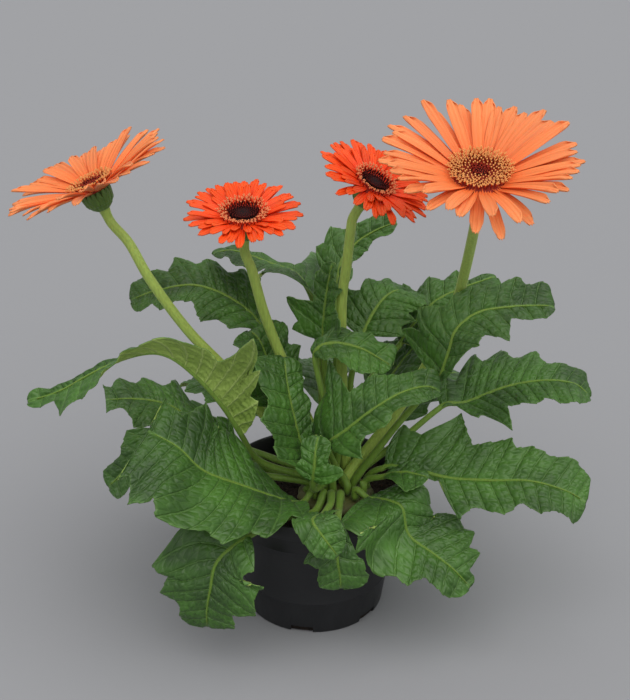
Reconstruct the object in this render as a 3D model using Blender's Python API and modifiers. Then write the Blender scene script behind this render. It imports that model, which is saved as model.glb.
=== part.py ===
"""A potted gerbera: a 14 cm nursery pot, compost, crown, leaves and four flowers on their stems.

Metres, +Z up. The origin is the middle of the pot's base, on the surface that it stands on.
-Y is the plant's front. Run with: blender --background --python part.py
"""

import math
from dataclasses import dataclass

import bmesh
import bpy
import numpy as np

MM = 0.001

# ---- driving sizes: pot ----
POT_HEIGHT = 0.105
POT_RIM_RADIUS = 0.070          # outer radius at the top of the rim band
POT_BASE_RADIUS = 0.0525
POT_WALL = 0.0012
POT_FLOOR = 0.0015
RIM_BAND_HEIGHT = 0.012
RIM_BAND_STEP = 0.0015          # how far the rim band stands out from the wall
SLOT_COUNT = 6
SLOT_WIDTH = 0.017
SLOT_HEIGHT = 0.006
SLOT_DEPTH = 0.0085              # how far in from the base circle a slot is cut
SLOT_TURN = 20.0                # degrees from +X to the first slot
POT_STEPS = 36

# ---- driving sizes: compost and crown ----
COMPOST_DROP = 0.012            # from the rim down to the compost
COMPOST_GAP = 0.0003
CROWN_RADIUS = 0.028
CROWN_HEIGHT = 0.010
CROWN_X = 0.016
CROWN_Y = -0.006
CROWN_STEPS = 24

# ---- driving sizes: leaves and flowers ----
TOUCH_GAP = 0.0003              # between pieces that touch
ROOT_GAP = 0.0017               # from the crown up to the middle of a stalk's end
STALK_RISE = 0.008              # how far stalks and stems rise straight up first
STALK_RING_SPACING = 0.018
BLADE_RING_SPACING = 0.006
STALK_BASE_RADIUS = 0.0026
STALK_TIP_RADIUS = 0.0019
BLADE_THICKNESS = 0.0014
VEIN_SWEEP = 0.55               # how far forward a side vein runs for each mm outward
STEM_BASE_RADIUS = 0.0040
STEM_TOP_RADIUS = 0.0031
CALYX_RADIUS = 0.011
CALYX_HEIGHT = 0.017
NECK_LENGTH = 0.014             # the straight end of a stem, square to its flower
STEM_POINT_SPACING = 0.012
STEM_ROOT_GAP = 0.0015          # between two stems' roots
RING_GAP = 0.0004               # between the rings of roots on the crown
STALK_ROOT_GAP = 0.0018         # between the outer two rings of stalks
RAY_THICKNESS = 0.0012
RAY_GAP_SHARE = 0.6             # the gaps between rays start here, out of the rays' reach
FLORET_HEIGHT = 0.005
HEAD_STEPS = 16

RIM_TOP = POT_HEIGHT
COMPOST_TOP = POT_HEIGHT - COMPOST_DROP

# the rings that the roots stand in, in mm from the crown's middle
INNER_RING = (2 * STEM_BASE_RADIUS + STEM_ROOT_GAP) / MM
MIDDLE_RING = INNER_RING + (STEM_BASE_RADIUS + STALK_BASE_RADIUS + RING_GAP) / MM
OUTER_RING = MIDDLE_RING + (2 * STALK_BASE_RADIUS + STALK_ROOT_GAP) / MM


@dataclass
class Leaf:
    """A leaf as it grows: its stalk's root on the crown, its route, its tilt and its lobes.

    root: direction in degrees and distance in mm from the crown's middle.
    route: points in mm; see above() and past_rim(). The blade starts at route[blade_at].
    roll: degrees that the left side is raised, at the blade's start, middle and tip.
    fold: degrees that both halves are raised from flat, at the same three places.
    curl: degrees that each half bends down over every 10 mm outward.
    left, right: lobe tips as (mm along the blade, mm out from the midrib).
    """

    name: str
    root: tuple
    route: list
    blade_at: int
    roll: tuple
    fold: tuple
    curl: float
    left: list
    right: list
    notch: float = 0.84


@dataclass
class Flower:
    """A flower: its stem's root and route, the middle of its head, its lean and its rays."""

    name: str
    root: tuple
    route: list
    head: tuple
    lean: float
    lean_toward: float
    radius: float
    rays: int
    rise: float
    ring_radius: float
    disc_radius: float


def above(x, y, up):
    """A point in mm from the pot's axis, and above the top of the rim."""
    return (x * MM, y * MM, RIM_TOP + up * MM)


def past_rim(azimuth, out, up):
    """A point in mm outward of the rim (less than 0 is inside it) and above its top."""
    reach = POT_RIM_RADIUS + out * MM
    turn = math.radians(azimuth)
    return (reach * math.cos(turn), reach * math.sin(turn), RIM_TOP + up * MM)


LEAVES = [
    Leaf(
        "leaf_front_left",
        root=(228, OUTER_RING),
        route=[
            above(-9, -34, 1),
            above(-24, -44, 10),
            above(-49, -56, 28),
            above(-76, -65, 46),
            above(-93, -64, 64),
            above(-114, -60, 75),
        ],
        blade_at=0,
        roll=(24, -18, -38, -42),
        fold=(6, 8, 4),
        curl=2,
        left=[(18, 31), (44, 46), (72, 54), (98, 54), (124, 54), (144, 44)],
        right=[(14, 22), (34, 30), (62, 42), (112, 40), (136, 26)],
    ),
    Leaf(
        "leaf_low_front_left",
        root=(248, OUTER_RING),
        route=[
            above(0, -42, -4),
            past_rim(249, -2, 5),
            past_rim(240, 21, 2),
            past_rim(233, 42, -13),
            past_rim(233, 51, -33),
            past_rim(232, 53, -51),
            past_rim(231, 51, -68),
        ],
        blade_at=2,
        roll=(-15, -45, -50),
        fold=(6, 6, 0),
        curl=3,
        left=[(12, 26), (38, 40), (62, 36), (80, 20)],
        right=[(14, 40), (42, 46), (66, 36), (82, 20)],
        notch=0.9,
    ),
    Leaf(
        "leaf_lower_left",
        root=(200, OUTER_RING),
        route=[
            above(-62, -10, 12),
            above(-89, -25, 40),
            above(-113, -38, 48),
            above(-130, -45, 38),
            above(-147, -48, 21),
        ],
        blade_at=1,
        roll=(-40, -40, -25),
        fold=(6, 6, 4),
        curl=3,
        left=[(4, 40), (52, 29), (69, 14)],
        right=[(18, 15), (39, 22), (69, 12)],
    ),
    Leaf(
        "leaf_arched_left",
        root=(212, MIDDLE_RING),
        route=[
            above(-38, -12, 20),
            above(-51, -25, 53),
            above(-64, -37, 84),
            above(-81, -45, 111),
            above(-99, -47, 127),
            above(-118, -45, 127),
            above(-147, -38, 112),
            above(-178, -32, 91),
            above(-203, -28, 80),
        ],
        blade_at=1,
        roll=(45, 50, 30, -20, -35),
        fold=(35, 30, 15, 5, 5),
        curl=1,
        left=[(28, 24), (52, 41), (76, 68), (93, 28), (158, 19), (183, 24), (200, 8)],
        right=[(95, 3), (144, 6), (183, 5), (202, 8)],
    ),
    Leaf(
        "leaf_shaded_left",
        root=(184, MIDDLE_RING),
        route=[
            above(-48, 16, 14),
            above(-78, 15, 32),
            above(-107, 14, 54),
            above(-132, 11, 61),
            above(-153, 7, 62),
        ],
        blade_at=1,
        roll=(-10, -15, -10),
        fold=(5, 5, 0),
        curl=3,
        left=[(8, 22), (26, 34), (42, 31), (64, 31), (87, 14)],
        right=[(8, 22), (36, 31), (56, 22), (72, 25), (87, 18)],
    ),
    Leaf(
        "leaf_inner_left",
        root=(174, OUTER_RING),
        route=[
            above(-33, 4, 3),
            above(-59, -1, 24),
            above(-79, -7, 47),
            above(-99, -11, 52),
            above(-112, -13, 50),
        ],
        blade_at=1,
        roll=(-30, -30, -20),
        fold=(5, 5, 0),
        curl=3,
        left=[(14, 20), (34, 25), (60, 12)],
        right=[(14, 20), (43, 13), (64, 12)],
    ),
    Leaf(
        "leaf_back_left",
        root=(128, INNER_RING),
        route=[
            above(-18, 28, 59),
            above(-37, 52, 97),
            above(-59, 62, 117),
            above(-89, 66, 128),
            above(-119, 64, 124),
            above(-138, 60, 118),
        ],
        blade_at=1,
        roll=(-15, -20, -20),
        fold=(8, 6, 4),
        curl=2,
        left=[(19, 33), (50, 40), (93, 22), (112, 18)],
        right=[(38, 34), (60, 27), (78, 30), (96, 21)],
    ),
    Leaf(
        "leaf_back_middle",
        root=(116, MIDDLE_RING),
        route=[
            above(4, 30, 83),
            above(3, 55, 112),
            above(-11, 75, 132),
            above(-33, 85, 138),
            above(-60, 85, 148),
            above(-77, 82, 147),
        ],
        blade_at=1,
        roll=(20, 10, 0),
        fold=(10, 8, 4),
        curl=2,
        left=[(63, 57), (69, 29)],
        right=[(43, 59), (65, 10), (82, 8)],
    ),
    Leaf(
        "leaf_back_tall",
        root=(86, MIDDLE_RING),
        route=[
            above(16, 30, 91),
            above(16, 60, 118),
            above(20, 80, 140),
            above(31, 88, 152),
            above(46, 90, 162),
            above(62, 90, 169),
        ],
        blade_at=1,
        roll=(0, 20, 10),
        fold=(10, 10, 5),
        curl=2,
        left=[(20, 19), (35, 26), (44, 23), (68, 14)],
        right=[(15, 17), (54, 14), (73, 10)],
    ),
    Leaf(
        "leaf_young_upright",
        root=(82, INNER_RING),
        route=[
            above(8, 22, 70),
            above(6, 28, 100),
            above(8, 32, 131),
            above(13, 34, 160),
        ],
        blade_at=1,
        roll=(0, 0, 0),
        fold=(25, 20, 10),
        curl=0,
        left=[(4, 26), (25, 34), (43, 11)],
        right=[(21, 38), (47, 18), (59, 6)],
    ),
    Leaf(
        "leaf_back_curled",
        root=(57, MIDDLE_RING),
        route=[
            above(27, 25, 69),
            above(36, 45, 96),
            above(48, 60, 114),
            above(61, 71, 121),
            above(75, 80, 115),
        ],
        blade_at=1,
        roll=(15, 15, 0),
        fold=(8, 8, 4),
        curl=4,
        left=[(10, 24), (27, 32), (40, 24), (54, 18)],
        right=[(10, 30), (30, 34), (46, 30)],
    ),
    Leaf(
        "leaf_back_right",
        root=(29, MIDDLE_RING),
        route=[
            above(38, 25, 60),
            above(65, 50, 89),
            above(88, 65, 112),
            above(110, 72, 122),
            above(138, 78, 130),
        ],
        blade_at=1,
        roll=(15, 15, 10),
        fold=(8, 8, 4),
        curl=3,
        left=[(34, 31), (47, 21), (66, 16), (80, 6)],
        right=[(4, 30), (49, 43), (84, 27)],
    ),
    Leaf(
        "leaf_upper_right",
        root=(335, MIDDLE_RING),
        route=[
            above(71, -14, 69),
            above(87, -16, 90),
            above(94, -16, 113),
            above(99, -13, 129),
            above(115, -7, 140),
            above(138, -2, 142),
            above(159, 0, 142),
            above(170, 0, 141),
        ],
        blade_at=1,
        roll=(20, 35, 20),
        fold=(10, 10, 5),
        curl=1,
        left=[(19, 45), (41, 33), (65, 20), (93, 23), (109, 22)],
        right=[(43, 23), (76, 31), (100, 14)],
    ),
    Leaf(
        "leaf_middle_right",
        root=(3, MIDDLE_RING),
        route=[
            above(64, 0, 32),
            above(93, 8, 57),
            above(112, 12, 58),
            above(141, 15, 69),
            above(169, 12, 76),
            above(191, 8, 75),
            above(203, 5, 65),
        ],
        blade_at=1,
        roll=(15, 15, 10),
        fold=(8, 8, 4),
        curl=3,
        left=[(10, 26), (38, 42), (54, 39), (75, 30), (102, 19)],
        right=[(11, 4), (23, 26), (45, 47), (69, 26), (93, 26)],
    ),
    Leaf(
        "leaf_lower_right",
        root=(352, OUTER_RING),
        route=[
            above(52, -15, 19),
            above(74, -22, 20),
            above(99, -30, 18),
            above(127, -38, 21),
            above(154, -45, 25),
            above(179, -50, 20),
            above(195, -52, 11),
        ],
        blade_at=0,
        roll=(40, 40, 25),
        fold=(8, 8, 2),
        curl=2,
        left=[(8, 31), (50, 51), (93, 31), (106, 28), (133, 26)],
        right=[(39, 5), (59, 30), (90, 26), (119, 23), (145, 21)],
    ),
    Leaf(
        "leaf_centre_dark",
        root=(300, MIDDLE_RING),
        route=[
            above(19, -14, 13),
            above(10, -25, 34),
            above(11, -31, 49),
            above(21, -37, 61),
            above(39, -40, 79),
            above(59, -38, 92),
            above(78, -31, 94),
            above(90, -28, 88),
        ],
        blade_at=1,
        roll=(30, 40, 30),
        fold=(8, 8, 4),
        curl=2,
        left=[(50, 53), (75, 23), (107, 14)],
        right=[(4, 3), (40, 28), (66, 18), (86, 14)],
    ),
    Leaf(
        "leaf_centre_top",
        root=(0, 0),
        route=[
            above(17, -4, 34),
            above(6, -1, 70),
            above(-1, 0, 102),
            above(11, -1, 113),
            above(33, -5, 111),
            above(56, -10, 99),
        ],
        blade_at=2,
        roll=(35, 30, 20),
        fold=(5, 5, 0),
        curl=4,
        left=[(9, 8), (21, 13), (44, 14), (58, 17)],
        right=[(12, 15), (39, 20)],
    ),
    Leaf(
        "leaf_front_right",
        root=(308, OUTER_RING),
        route=[
            above(40, -30, 2),
            past_rim(322, -2, 7),
            past_rim(322, 11, 5),
            past_rim(321, 18, -14),
            past_rim(322, 37, -22),
            past_rim(323, 54, -30),
            past_rim(325, 67, -44),
        ],
        blade_at=0,
        roll=(-4, 24, 15),
        fold=(8, 6, 0),
        curl=3,
        left=[(31, 26), (73, 35), (90, 35), (102, 24), (109, 9)],
        right=[(10, 45), (49, 47), (56, 40), (76, 33), (96, 20)],
        notch=0.94,
    ),
    Leaf(
        "leaf_front_hanging",
        root=(278, OUTER_RING),
        route=[
            above(18, -45, 0),
            past_rim(284, 0, 7),
            past_rim(281, 16, -13),
            past_rim(282, 18, -27),
            past_rim(283, 16, -42),
        ],
        blade_at=1,
        roll=(0, 0, 0),
        fold=(5, 0, 0),
        curl=4,
        left=[(35, 19), (49, 21)],
        right=[(29, 24), (42, 16)],
        notch=0.9,
    ),
    Leaf(
        "leaf_young_right",
        root=(331, OUTER_RING),
        route=[
            above(38, -15, 6),
            past_rim(337, -14, 16),
            past_rim(336, 2, 23),
            past_rim(336, 20, 23),
        ],
        blade_at=1,
        roll=(10, 10, 0),
        fold=(5, 5, 0),
        curl=2,
        left=[(17, 11)],
        right=[(25, 21)],
    ),
    Leaf(
        "leaf_centre_left",
        root=(262, MIDDLE_RING),
        route=[
            above(11, -24, 20),
            above(-6, -22, 35),
            above(-14, -17, 63),
            above(-19, -9, 87),
            above(-21, 3, 100),
        ],
        blade_at=0,
        roll=(0, 0, 0),
        fold=(10, 10, 0),
        curl=2,
        left=[(10, 15), (34, 32), (60, 34), (88, 28)],
        right=[(12, 13), (34, 15), (60, 16), (86, 15)],
    ),
    Leaf(
        "leaf_small_front",
        root=(240, MIDDLE_RING),
        route=[
            above(0, -34, 10),
            above(-1, -42, 22),
            above(0, -42, 34),
            above(1, -38, 45),
            above(3, -31, 54),
        ],
        blade_at=1,
        roll=(0, 0, 0),
        fold=(8, 6, 4),
        curl=3,
        left=[(10, 14), (26, 11)],
        right=[(12, 22), (25, 12)],
    ),
    Leaf(
        "leaf_small_hanging",
        root=(262, OUTER_RING),
        route=[
            above(12, -43, 4),
            above(6, -60, 8),
            above(-1, -84, 18),
            above(7, -93, 9),
            above(17, -96, -5),
        ],
        blade_at=1,
        roll=(0, 0, 0),
        fold=(6, 4, 0),
        curl=4,
        left=[(10, 16), (30, 17)],
        right=[(10, 15), (30, 15)],
    ),
    Leaf(
        "leaf_inner_right",
        root=(63, OUTER_RING),
        route=[
            above(36, 24, 20),
            above(48, 36, 46),
            above(64, 50, 68),
            above(82, 62, 84),
            above(98, 70, 90),
        ],
        blade_at=1,
        roll=(0, 0, 0),
        fold=(8, 8, 4),
        curl=3,
        left=[(14, 26), (36, 34), (62, 24)],
        right=[(14, 28), (38, 36), (64, 26)],
    ),
    Leaf(
        "leaf_inner_back",
        root=(152, MIDDLE_RING),
        route=[
            above(-10, 10, 26),
            above(-21, 14, 58),
            above(-32, 18, 85),
            above(-39, 22, 103),
            above(-47, 28, 109),
        ],
        blade_at=1,
        roll=(-10, -10, 0),
        fold=(8, 8, 4),
        curl=2,
        left=[(23, 42), (51, 25)],
        right=[(29, 33), (50, 31)],
    ),
    Leaf(
        "leaf_rear_right",
        root=(38, OUTER_RING),
        route=[
            above(38, 16, 12),
            above(60, 45, 22),
            above(85, 80, 34),
            above(110, 110, 30),
            above(128, 130, 15),
        ],
        blade_at=1,
        roll=(10, 10, 0),
        fold=(8, 8, 4),
        curl=3,
        left=[(25, 22), (50, 30), (78, 28), (105, 18)],
        right=[(20, 20), (48, 30), (80, 28), (105, 18)],
    ),
    Leaf(
        "leaf_rear_middle",
        root=(88, OUTER_RING),
        route=[
            above(14, 30, 12),
            above(12, 60, 24),
            above(8, 95, 36),
            above(2, 130, 32),
            above(-4, 155, 16),
        ],
        blade_at=1,
        roll=(0, 0, 0),
        fold=(8, 8, 4),
        curl=3,
        left=[(25, 20), (52, 28), (80, 30), (105, 18)],
        right=[(22, 22), (50, 28), (78, 30), (104, 16)],
    ),
    Leaf(
        "leaf_rear_left",
        root=(146, OUTER_RING),
        route=[
            above(-8, 20, 12),
            above(-30, 50, 22),
            above(-60, 80, 34),
            above(-88, 105, 30),
            above(-105, 120, 14),
        ],
        blade_at=1,
        roll=(-10, -10, 0),
        fold=(8, 8, 4),
        curl=3,
        left=[(25, 20), (48, 30), (75, 30), (100, 18)],
        right=[(22, 22), (50, 30), (75, 28), (100, 18)],
    ),
]

FLOWERS = [
    Flower(
        "flower_left",
        root=(176, INNER_RING),
        route=[
            above(-20, 4, 28),
            above(-61, 14, 79),
            above(-91, 18, 113),
            above(-117, 26, 150),
            above(-134, 36, 183),
        ],
        head=above(-156, 43, 213),
        lean=23,
        lean_toward=178,
        radius=0.063,
        rays=30,
        rise=14,
        ring_radius=0.016,
        disc_radius=0.008,
    ),
    Flower(
        "flower_middle_left",
        root=(236, INNER_RING),
        route=[
            above(4, -4, 30),
            above(-8, 4, 56),
            above(-26, 12, 101),
            above(-36, 8, 134),
            above(-43, 4, 166),
        ],
        head=above(-48, 0, 208),
        lean=12,
        lean_toward=270,
        radius=0.041,
        rays=28,
        rise=9,
        ring_radius=0.016,
        disc_radius=0.0105,
    ),
    Flower(
        "flower_middle_right",
        root=(34, INNER_RING),
        route=[above(21, 10, 61), above(20, 24, 128), above(23, 20, 162), above(26, 16, 195)],
        head=above(40, 10, 227),
        lean=29,
        lean_toward=333,
        radius=0.043,
        rays=28,
        rise=9,
        ring_radius=0.0145,
        disc_radius=0.0100,
    ),
    Flower(
        "flower_right",
        root=(334, INNER_RING),
        route=[
            above(58, 10, 45),
            above(85, 22, 87),
            above(102, 20, 134),
            above(105, -2, 170),
            above(105, -40, 216),
        ],
        head=above(104, -61, 260),
        lean=16,
        lean_toward=270,
        radius=0.0645,
        rays=30,
        rise=17,
        ring_radius=0.0195,
        disc_radius=0.0075,
    ),
]


def unit(rows):
    """The rows of an array at length 1."""
    return rows / np.maximum(np.linalg.norm(rows, axis=-1, keepdims=True), 1e-12)


def smooth_route(points, step=0.001):
    """A smooth curve through the points.

    Returns distances along it, the places at them, and the distance of each point given.
    """
    given = np.asarray(points, float)
    ends = (2 * given[0] - given[1], 2 * given[-1] - given[-2])
    knots = np.vstack([ends[0], given, ends[1]])
    share = np.linspace(0, 1, 24, endpoint=False)[:, None]
    spans = []
    for a, b, c, d in zip(knots, knots[1:], knots[2:], knots[3:]):
        cubic = -a + 3 * b - 3 * c + d
        square = 2 * a - 5 * b + 4 * c - d
        spans.append(0.5 * (2 * b + (c - a) * share + square * share**2 + cubic * share**3))
    dense = np.vstack(spans + [given[-1:]])
    gone = np.concatenate([[0], np.cumsum(np.linalg.norm(np.diff(dense, axis=0), axis=1))])
    marks = gone[::24]
    along = np.linspace(0, gone[-1], max(int(gone[-1] / step), 8))
    places = np.stack([np.interp(along, gone, dense[:, i]) for i in range(3)], 1)
    return along, places, marks


class LeafForm:
    """The surface of one leaf: its midrib, the frame along it and its lobed margin."""

    def __init__(self, leaf):
        start = crown_point(*leaf.root, STALK_BASE_RADIUS)
        rising = (start[0], start[1], start[2] + STALK_RISE)
        self.leaf = leaf
        self.along, self.places, marks = smooth_route([start, rising] + leaf.route)
        self.blade_start = marks[leaf.blade_at + 2]
        self.length = self.along[-1] - self.blade_start
        tangent = unit(np.gradient(self.places, self.along, axis=0))
        first = self.at(self.places, self.blade_start)
        heading = self.places[-1] - first
        heading = unit(np.array([heading[0], heading[1], 0.0]))
        level = np.array([-heading[1], heading[0], 0.0])
        self.across = unit(level - (tangent @ level)[:, None] * tangent)
        self.upward = np.cross(tangent, self.across)
        self.tangent = tangent
        self.margins = {1: self.margin(leaf.left), -1: self.margin(leaf.right)}

    def at(self, rows, where):
        """The rows read at distances along the midrib."""
        return np.stack([np.interp(where, self.along, rows[:, i]) for i in range(3)], -1)

    def sweep(self, origin):
        """How far forward a side vein from here runs for each metre outward."""
        tip = np.sqrt(np.clip(1 - (origin / self.length) ** 2, 0, 1))
        return VEIN_SWEEP * tip * np.clip(origin / (0.15 * self.length), 0, 1)

    def origin(self, along, out):
        """Where on the midrib the side vein to a place on the margin starts."""
        guess = along
        for _ in range(30):
            guess = 0.5 * guess + 0.5 * (along - self.sweep(guess) * out)
        return max(guess, 0.002)

    def margin(self, lobes):
        """Turns and lobe tips of one side, as (vein origin, width, kind)."""
        tips = [(self.origin(a * MM, b * MM), b * MM) for a, b in lobes]
        keys = [(0.0, STALK_TIP_RADIUS, "notch")]
        for index, (place, width) in enumerate(tips):
            if index:
                before, narrow = tips[index - 1]
                notch = self.leaf.notch * min(narrow, width)
                keys.append((0.5 * (before + place), notch, "notch"))
            keys.append((place, width, "lobe"))
        keys.append((self.length, 0.0, "tip"))
        return keys

    def width(self, side, origin):
        """Half width of the blade on one side, at a vein's origin."""
        keys = self.margins[side]
        for (start, low, kind), (stop, high, next_kind) in zip(keys, keys[1:]):
            if origin <= stop:
                share = (origin - start) / max(stop - start, 1e-9)
                if next_kind == "tip":
                    return low * math.sqrt(max(1 - share**2, 0.0))
                if kind == "notch":
                    return low + (high - low) * share**0.85
                return high + (low - high) * (1 - share) ** 1.1
        return 0.0

    def surface(self, origin, out):
        """The place and the normal of a point out along the side vein from an origin.

        out is more than 0 on the left side, as seen looking out from the crown.
        """
        far = abs(out)
        along = origin + self.sweep(origin) * far
        share = min(max(along / self.length, 0.0), 1.0)
        roll = math.radians(spread_value(self.leaf.roll, share))
        fold = math.radians(spread_value(self.leaf.fold, share))
        bend = math.radians(self.leaf.curl) / 0.010 + 1e-6
        where = self.blade_start + min(along, self.length)
        place = self.at(self.places, where) + self.at(self.tangent, where) * max(along - self.length, 0)
        across = self.at(self.across, where)
        upward = self.at(self.upward, where)
        left = math.cos(roll) * across + math.sin(roll) * upward
        normal = math.cos(roll) * upward - math.sin(roll) * across
        ending = fold - bend * far
        side = (math.sin(fold) - math.sin(ending)) / bend
        rise = (math.cos(ending) - math.cos(fold)) / bend
        return place + left * side * math.copysign(1, out) + normal * rise, normal

    def stalk_rings(self):
        """Eight-sided rings up the stalk."""
        rings = []
        count = max(int(self.blade_start / STALK_RING_SPACING), 4)
        for where in np.linspace(0, self.blade_start, count, endpoint=False):
            share = where / self.blade_start
            radius = STALK_BASE_RADIUS + (STALK_TIP_RADIUS - STALK_BASE_RADIUS) * share
            centre = self.at(self.places, where)
            across = self.at(self.across, where)
            upward = self.at(self.upward, where)
            turns = [math.radians(45 * i) for i in range(8)]
            rings.append([centre + radius * (math.cos(t) * across + math.sin(t) * upward) for t in turns])
        return rings

    def blade_rings(self):
        """Flat eight-point rings across the blade: a point on each margin, three above, three below."""
        places = {0.004, self.length - 0.004}
        for keys in self.margins.values():
            places.update(place for place, _, kind in keys if kind != "tip" and place > 0.004)
        kept = []
        for place in sorted(places):
            if not kept or place - kept[-1] > BLADE_RING_SPACING:
                kept.append(place)
        rings = []
        for origin in kept:
            left = max(self.width(1, origin), STALK_TIP_RADIUS)
            right = max(self.width(-1, origin), STALK_TIP_RADIUS)
            outs = (left, 0.5 * left, 0.0, -0.5 * right, -right)
            line = [self.surface(origin, out) for out in outs]
            half = 0.5 * BLADE_THICKNESS
            upper = [place + normal * half for place, normal in line[1:4]]
            lower = [place - normal * half for place, normal in line[1:4]]
            rings.append([line[0][0]] + upper + [line[4][0]] + lower[::-1])
        return rings


def spread_value(values, share):
    """A value read from a list that is spread evenly from 0 to 1."""
    return float(np.interp(share, np.linspace(0, 1, len(values)), values))


def crown_point(azimuth, distance, radius):
    """The root of a stalk or stem of a radius, just clear of the crown's dome.

    azimuth in degrees and distance in mm are from the crown's middle.
    """
    reach = distance * MM
    turn = math.radians(azimuth)
    nearest = max(reach - radius, 0.0)
    height = CROWN_HEIGHT * math.sqrt(1 - (nearest / CROWN_RADIUS) ** 2)
    base = COMPOST_TOP + COMPOST_GAP
    x = CROWN_X + reach * math.cos(turn)
    y = CROWN_Y + reach * math.sin(turn)
    return (x, y, base + height + ROOT_GAP)


# ---- building ----


def clear_scene():
    """Removes whatever the scene holds."""
    for item in list(bpy.data.objects):
        bpy.data.objects.remove(item, do_unlink=True)


def collection(name):
    """A new collection in the scene."""
    group = bpy.data.collections.new(name)
    bpy.context.scene.collection.children.link(group)
    return group


def material(name, colour, roughness):
    """A Principled material."""
    finish = bpy.data.materials.new(name)
    finish.use_nodes = True
    shader = finish.node_tree.nodes["Principled BSDF"]
    shader.inputs["Base Color"].default_value = (*colour, 1)
    shader.inputs["Roughness"].default_value = roughness
    shader.inputs["Metallic"].default_value = 0.0
    return finish


def add_object(name, data, group, finish):
    """An object for the mesh or curve, in the group and with its material."""
    item = bpy.data.objects.new(name, data)
    group.objects.link(item)
    if finish:
        data.materials.append(finish)
    return item


def turned(name, profile, group, finish, steps):
    """A solid turned about Z: a profile of (radius, height), down its outer side."""
    mesh = bpy.data.meshes.new(name)
    points = [(radius, 0, height) for radius, height in profile]
    edges = [(i, i + 1) for i in range(len(points) - 1)]
    if profile[0][0] > 0:
        edges.append((len(points) - 1, 0))
    mesh.from_pydata(points, edges, [])
    item = add_object(name, mesh, group, finish)
    screw = item.modifiers.new("Turn", "SCREW")
    screw.axis = "Z"
    screw.steps = steps
    screw.render_steps = steps
    screw.use_merge_vertices = True
    screw.merge_threshold = 0.0001
    screw.use_normal_calculate = False
    return item


def lofted(name, rings, group, finish):
    """A closed solid through rings with the same number of points."""
    shape = bmesh.new()
    rows = [[shape.verts.new(point) for point in ring] for ring in rings]
    count = len(rows[0])
    for row, after in zip(rows, rows[1:]):
        for i in range(count):
            j = (i + 1) % count
            shape.faces.new((row[i], row[j], after[j], after[i]))
    shape.faces.new(rows[0][::-1])
    shape.faces.new(rows[-1])
    bmesh.ops.triangulate(shape, faces=shape.faces[:])
    bmesh.ops.recalc_face_normals(shape, faces=shape.faces[:])
    mesh = bpy.data.meshes.new(name)
    shape.to_mesh(mesh)
    shape.free()
    mesh.shade_smooth()
    mesh.set_sharp_from_angle(angle=math.radians(50))
    return add_object(name, mesh, group, finish)


def make_pot(parts, cutters, finish):
    """The thin-walled pot with its rim band, flat floor and drainage slots."""
    band_bottom = POT_HEIGHT - RIM_BAND_HEIGHT
    slope = (POT_RIM_RADIUS - RIM_BAND_STEP - POT_BASE_RADIUS) / POT_HEIGHT

    def outer(height):
        return POT_BASE_RADIUS + slope * height

    profile = [
        (0.0, POT_FLOOR),
        (outer(POT_FLOOR) - POT_WALL, POT_FLOOR),
        (outer(POT_HEIGHT) - POT_WALL, POT_HEIGHT),
        (POT_RIM_RADIUS, POT_HEIGHT),
        (POT_RIM_RADIUS - 0.0008, band_bottom),
        (outer(band_bottom), band_bottom),
        (outer(0.0), 0.0),
        (0.0, 0.0),
    ]
    pot = turned("pot", profile, parts, finish, POT_STEPS)
    slots = []
    for index in range(SLOT_COUNT):
        turn = math.radians(SLOT_TURN) + math.tau * index / SLOT_COUNT
        bpy.ops.mesh.primitive_cube_add(size=1)
        cutter = bpy.context.active_object
        cutter.name = f"slot_cutter_{index + 1}"
        cutter.dimensions = (2 * SLOT_DEPTH, SLOT_WIDTH, 2 * SLOT_HEIGHT)
        cutter.rotation_euler = (0, 0, turn)
        cutter.location = (POT_BASE_RADIUS * math.cos(turn), POT_BASE_RADIUS * math.sin(turn), 0)
        for home in list(cutter.users_collection):
            home.objects.unlink(cutter)
        cutters.objects.link(cutter)
        cutter.hide_render = True
        cutter.display_type = "WIRE"
        slots.append(cutter)
    for cutter in slots:
        cut = pot.modifiers.new("Slot", "BOOLEAN")
        cut.operation = "DIFFERENCE"
        cut.solver = "EXACT"
        cut.object = cutter
    return pot


def make_compost(parts, finish):
    """The compost that fills the pot, with the roots grown through it."""
    slope = (POT_RIM_RADIUS - RIM_BAND_STEP - POT_BASE_RADIUS) / POT_HEIGHT
    bottom = POT_FLOOR + COMPOST_GAP
    inset = POT_WALL + COMPOST_GAP
    low = POT_BASE_RADIUS + slope * bottom - inset
    high = POT_BASE_RADIUS + slope * COMPOST_TOP - inset
    profile = [(0.0, COMPOST_TOP), (high, COMPOST_TOP), (low, bottom), (0.0, bottom)]
    return turned("compost", profile, parts, finish, POT_STEPS)


def make_crown(parts, finish):
    """The short woody crown that stalks and stems grow from: a flat-bottomed dome."""
    turns = [math.radians(90 - 15 * i) for i in range(7)]
    profile = [(CROWN_RADIUS * math.cos(t), CROWN_HEIGHT * math.sin(t)) for t in turns]
    profile[0] = (0.0, CROWN_HEIGHT)
    profile[-1] = (CROWN_RADIUS, 0.0)
    profile.append((0.0, 0.0))
    crown = turned("crown", profile, parts, finish, CROWN_STEPS)
    crown.location = (CROWN_X, CROWN_Y, COMPOST_TOP + COMPOST_GAP)
    return crown


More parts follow.
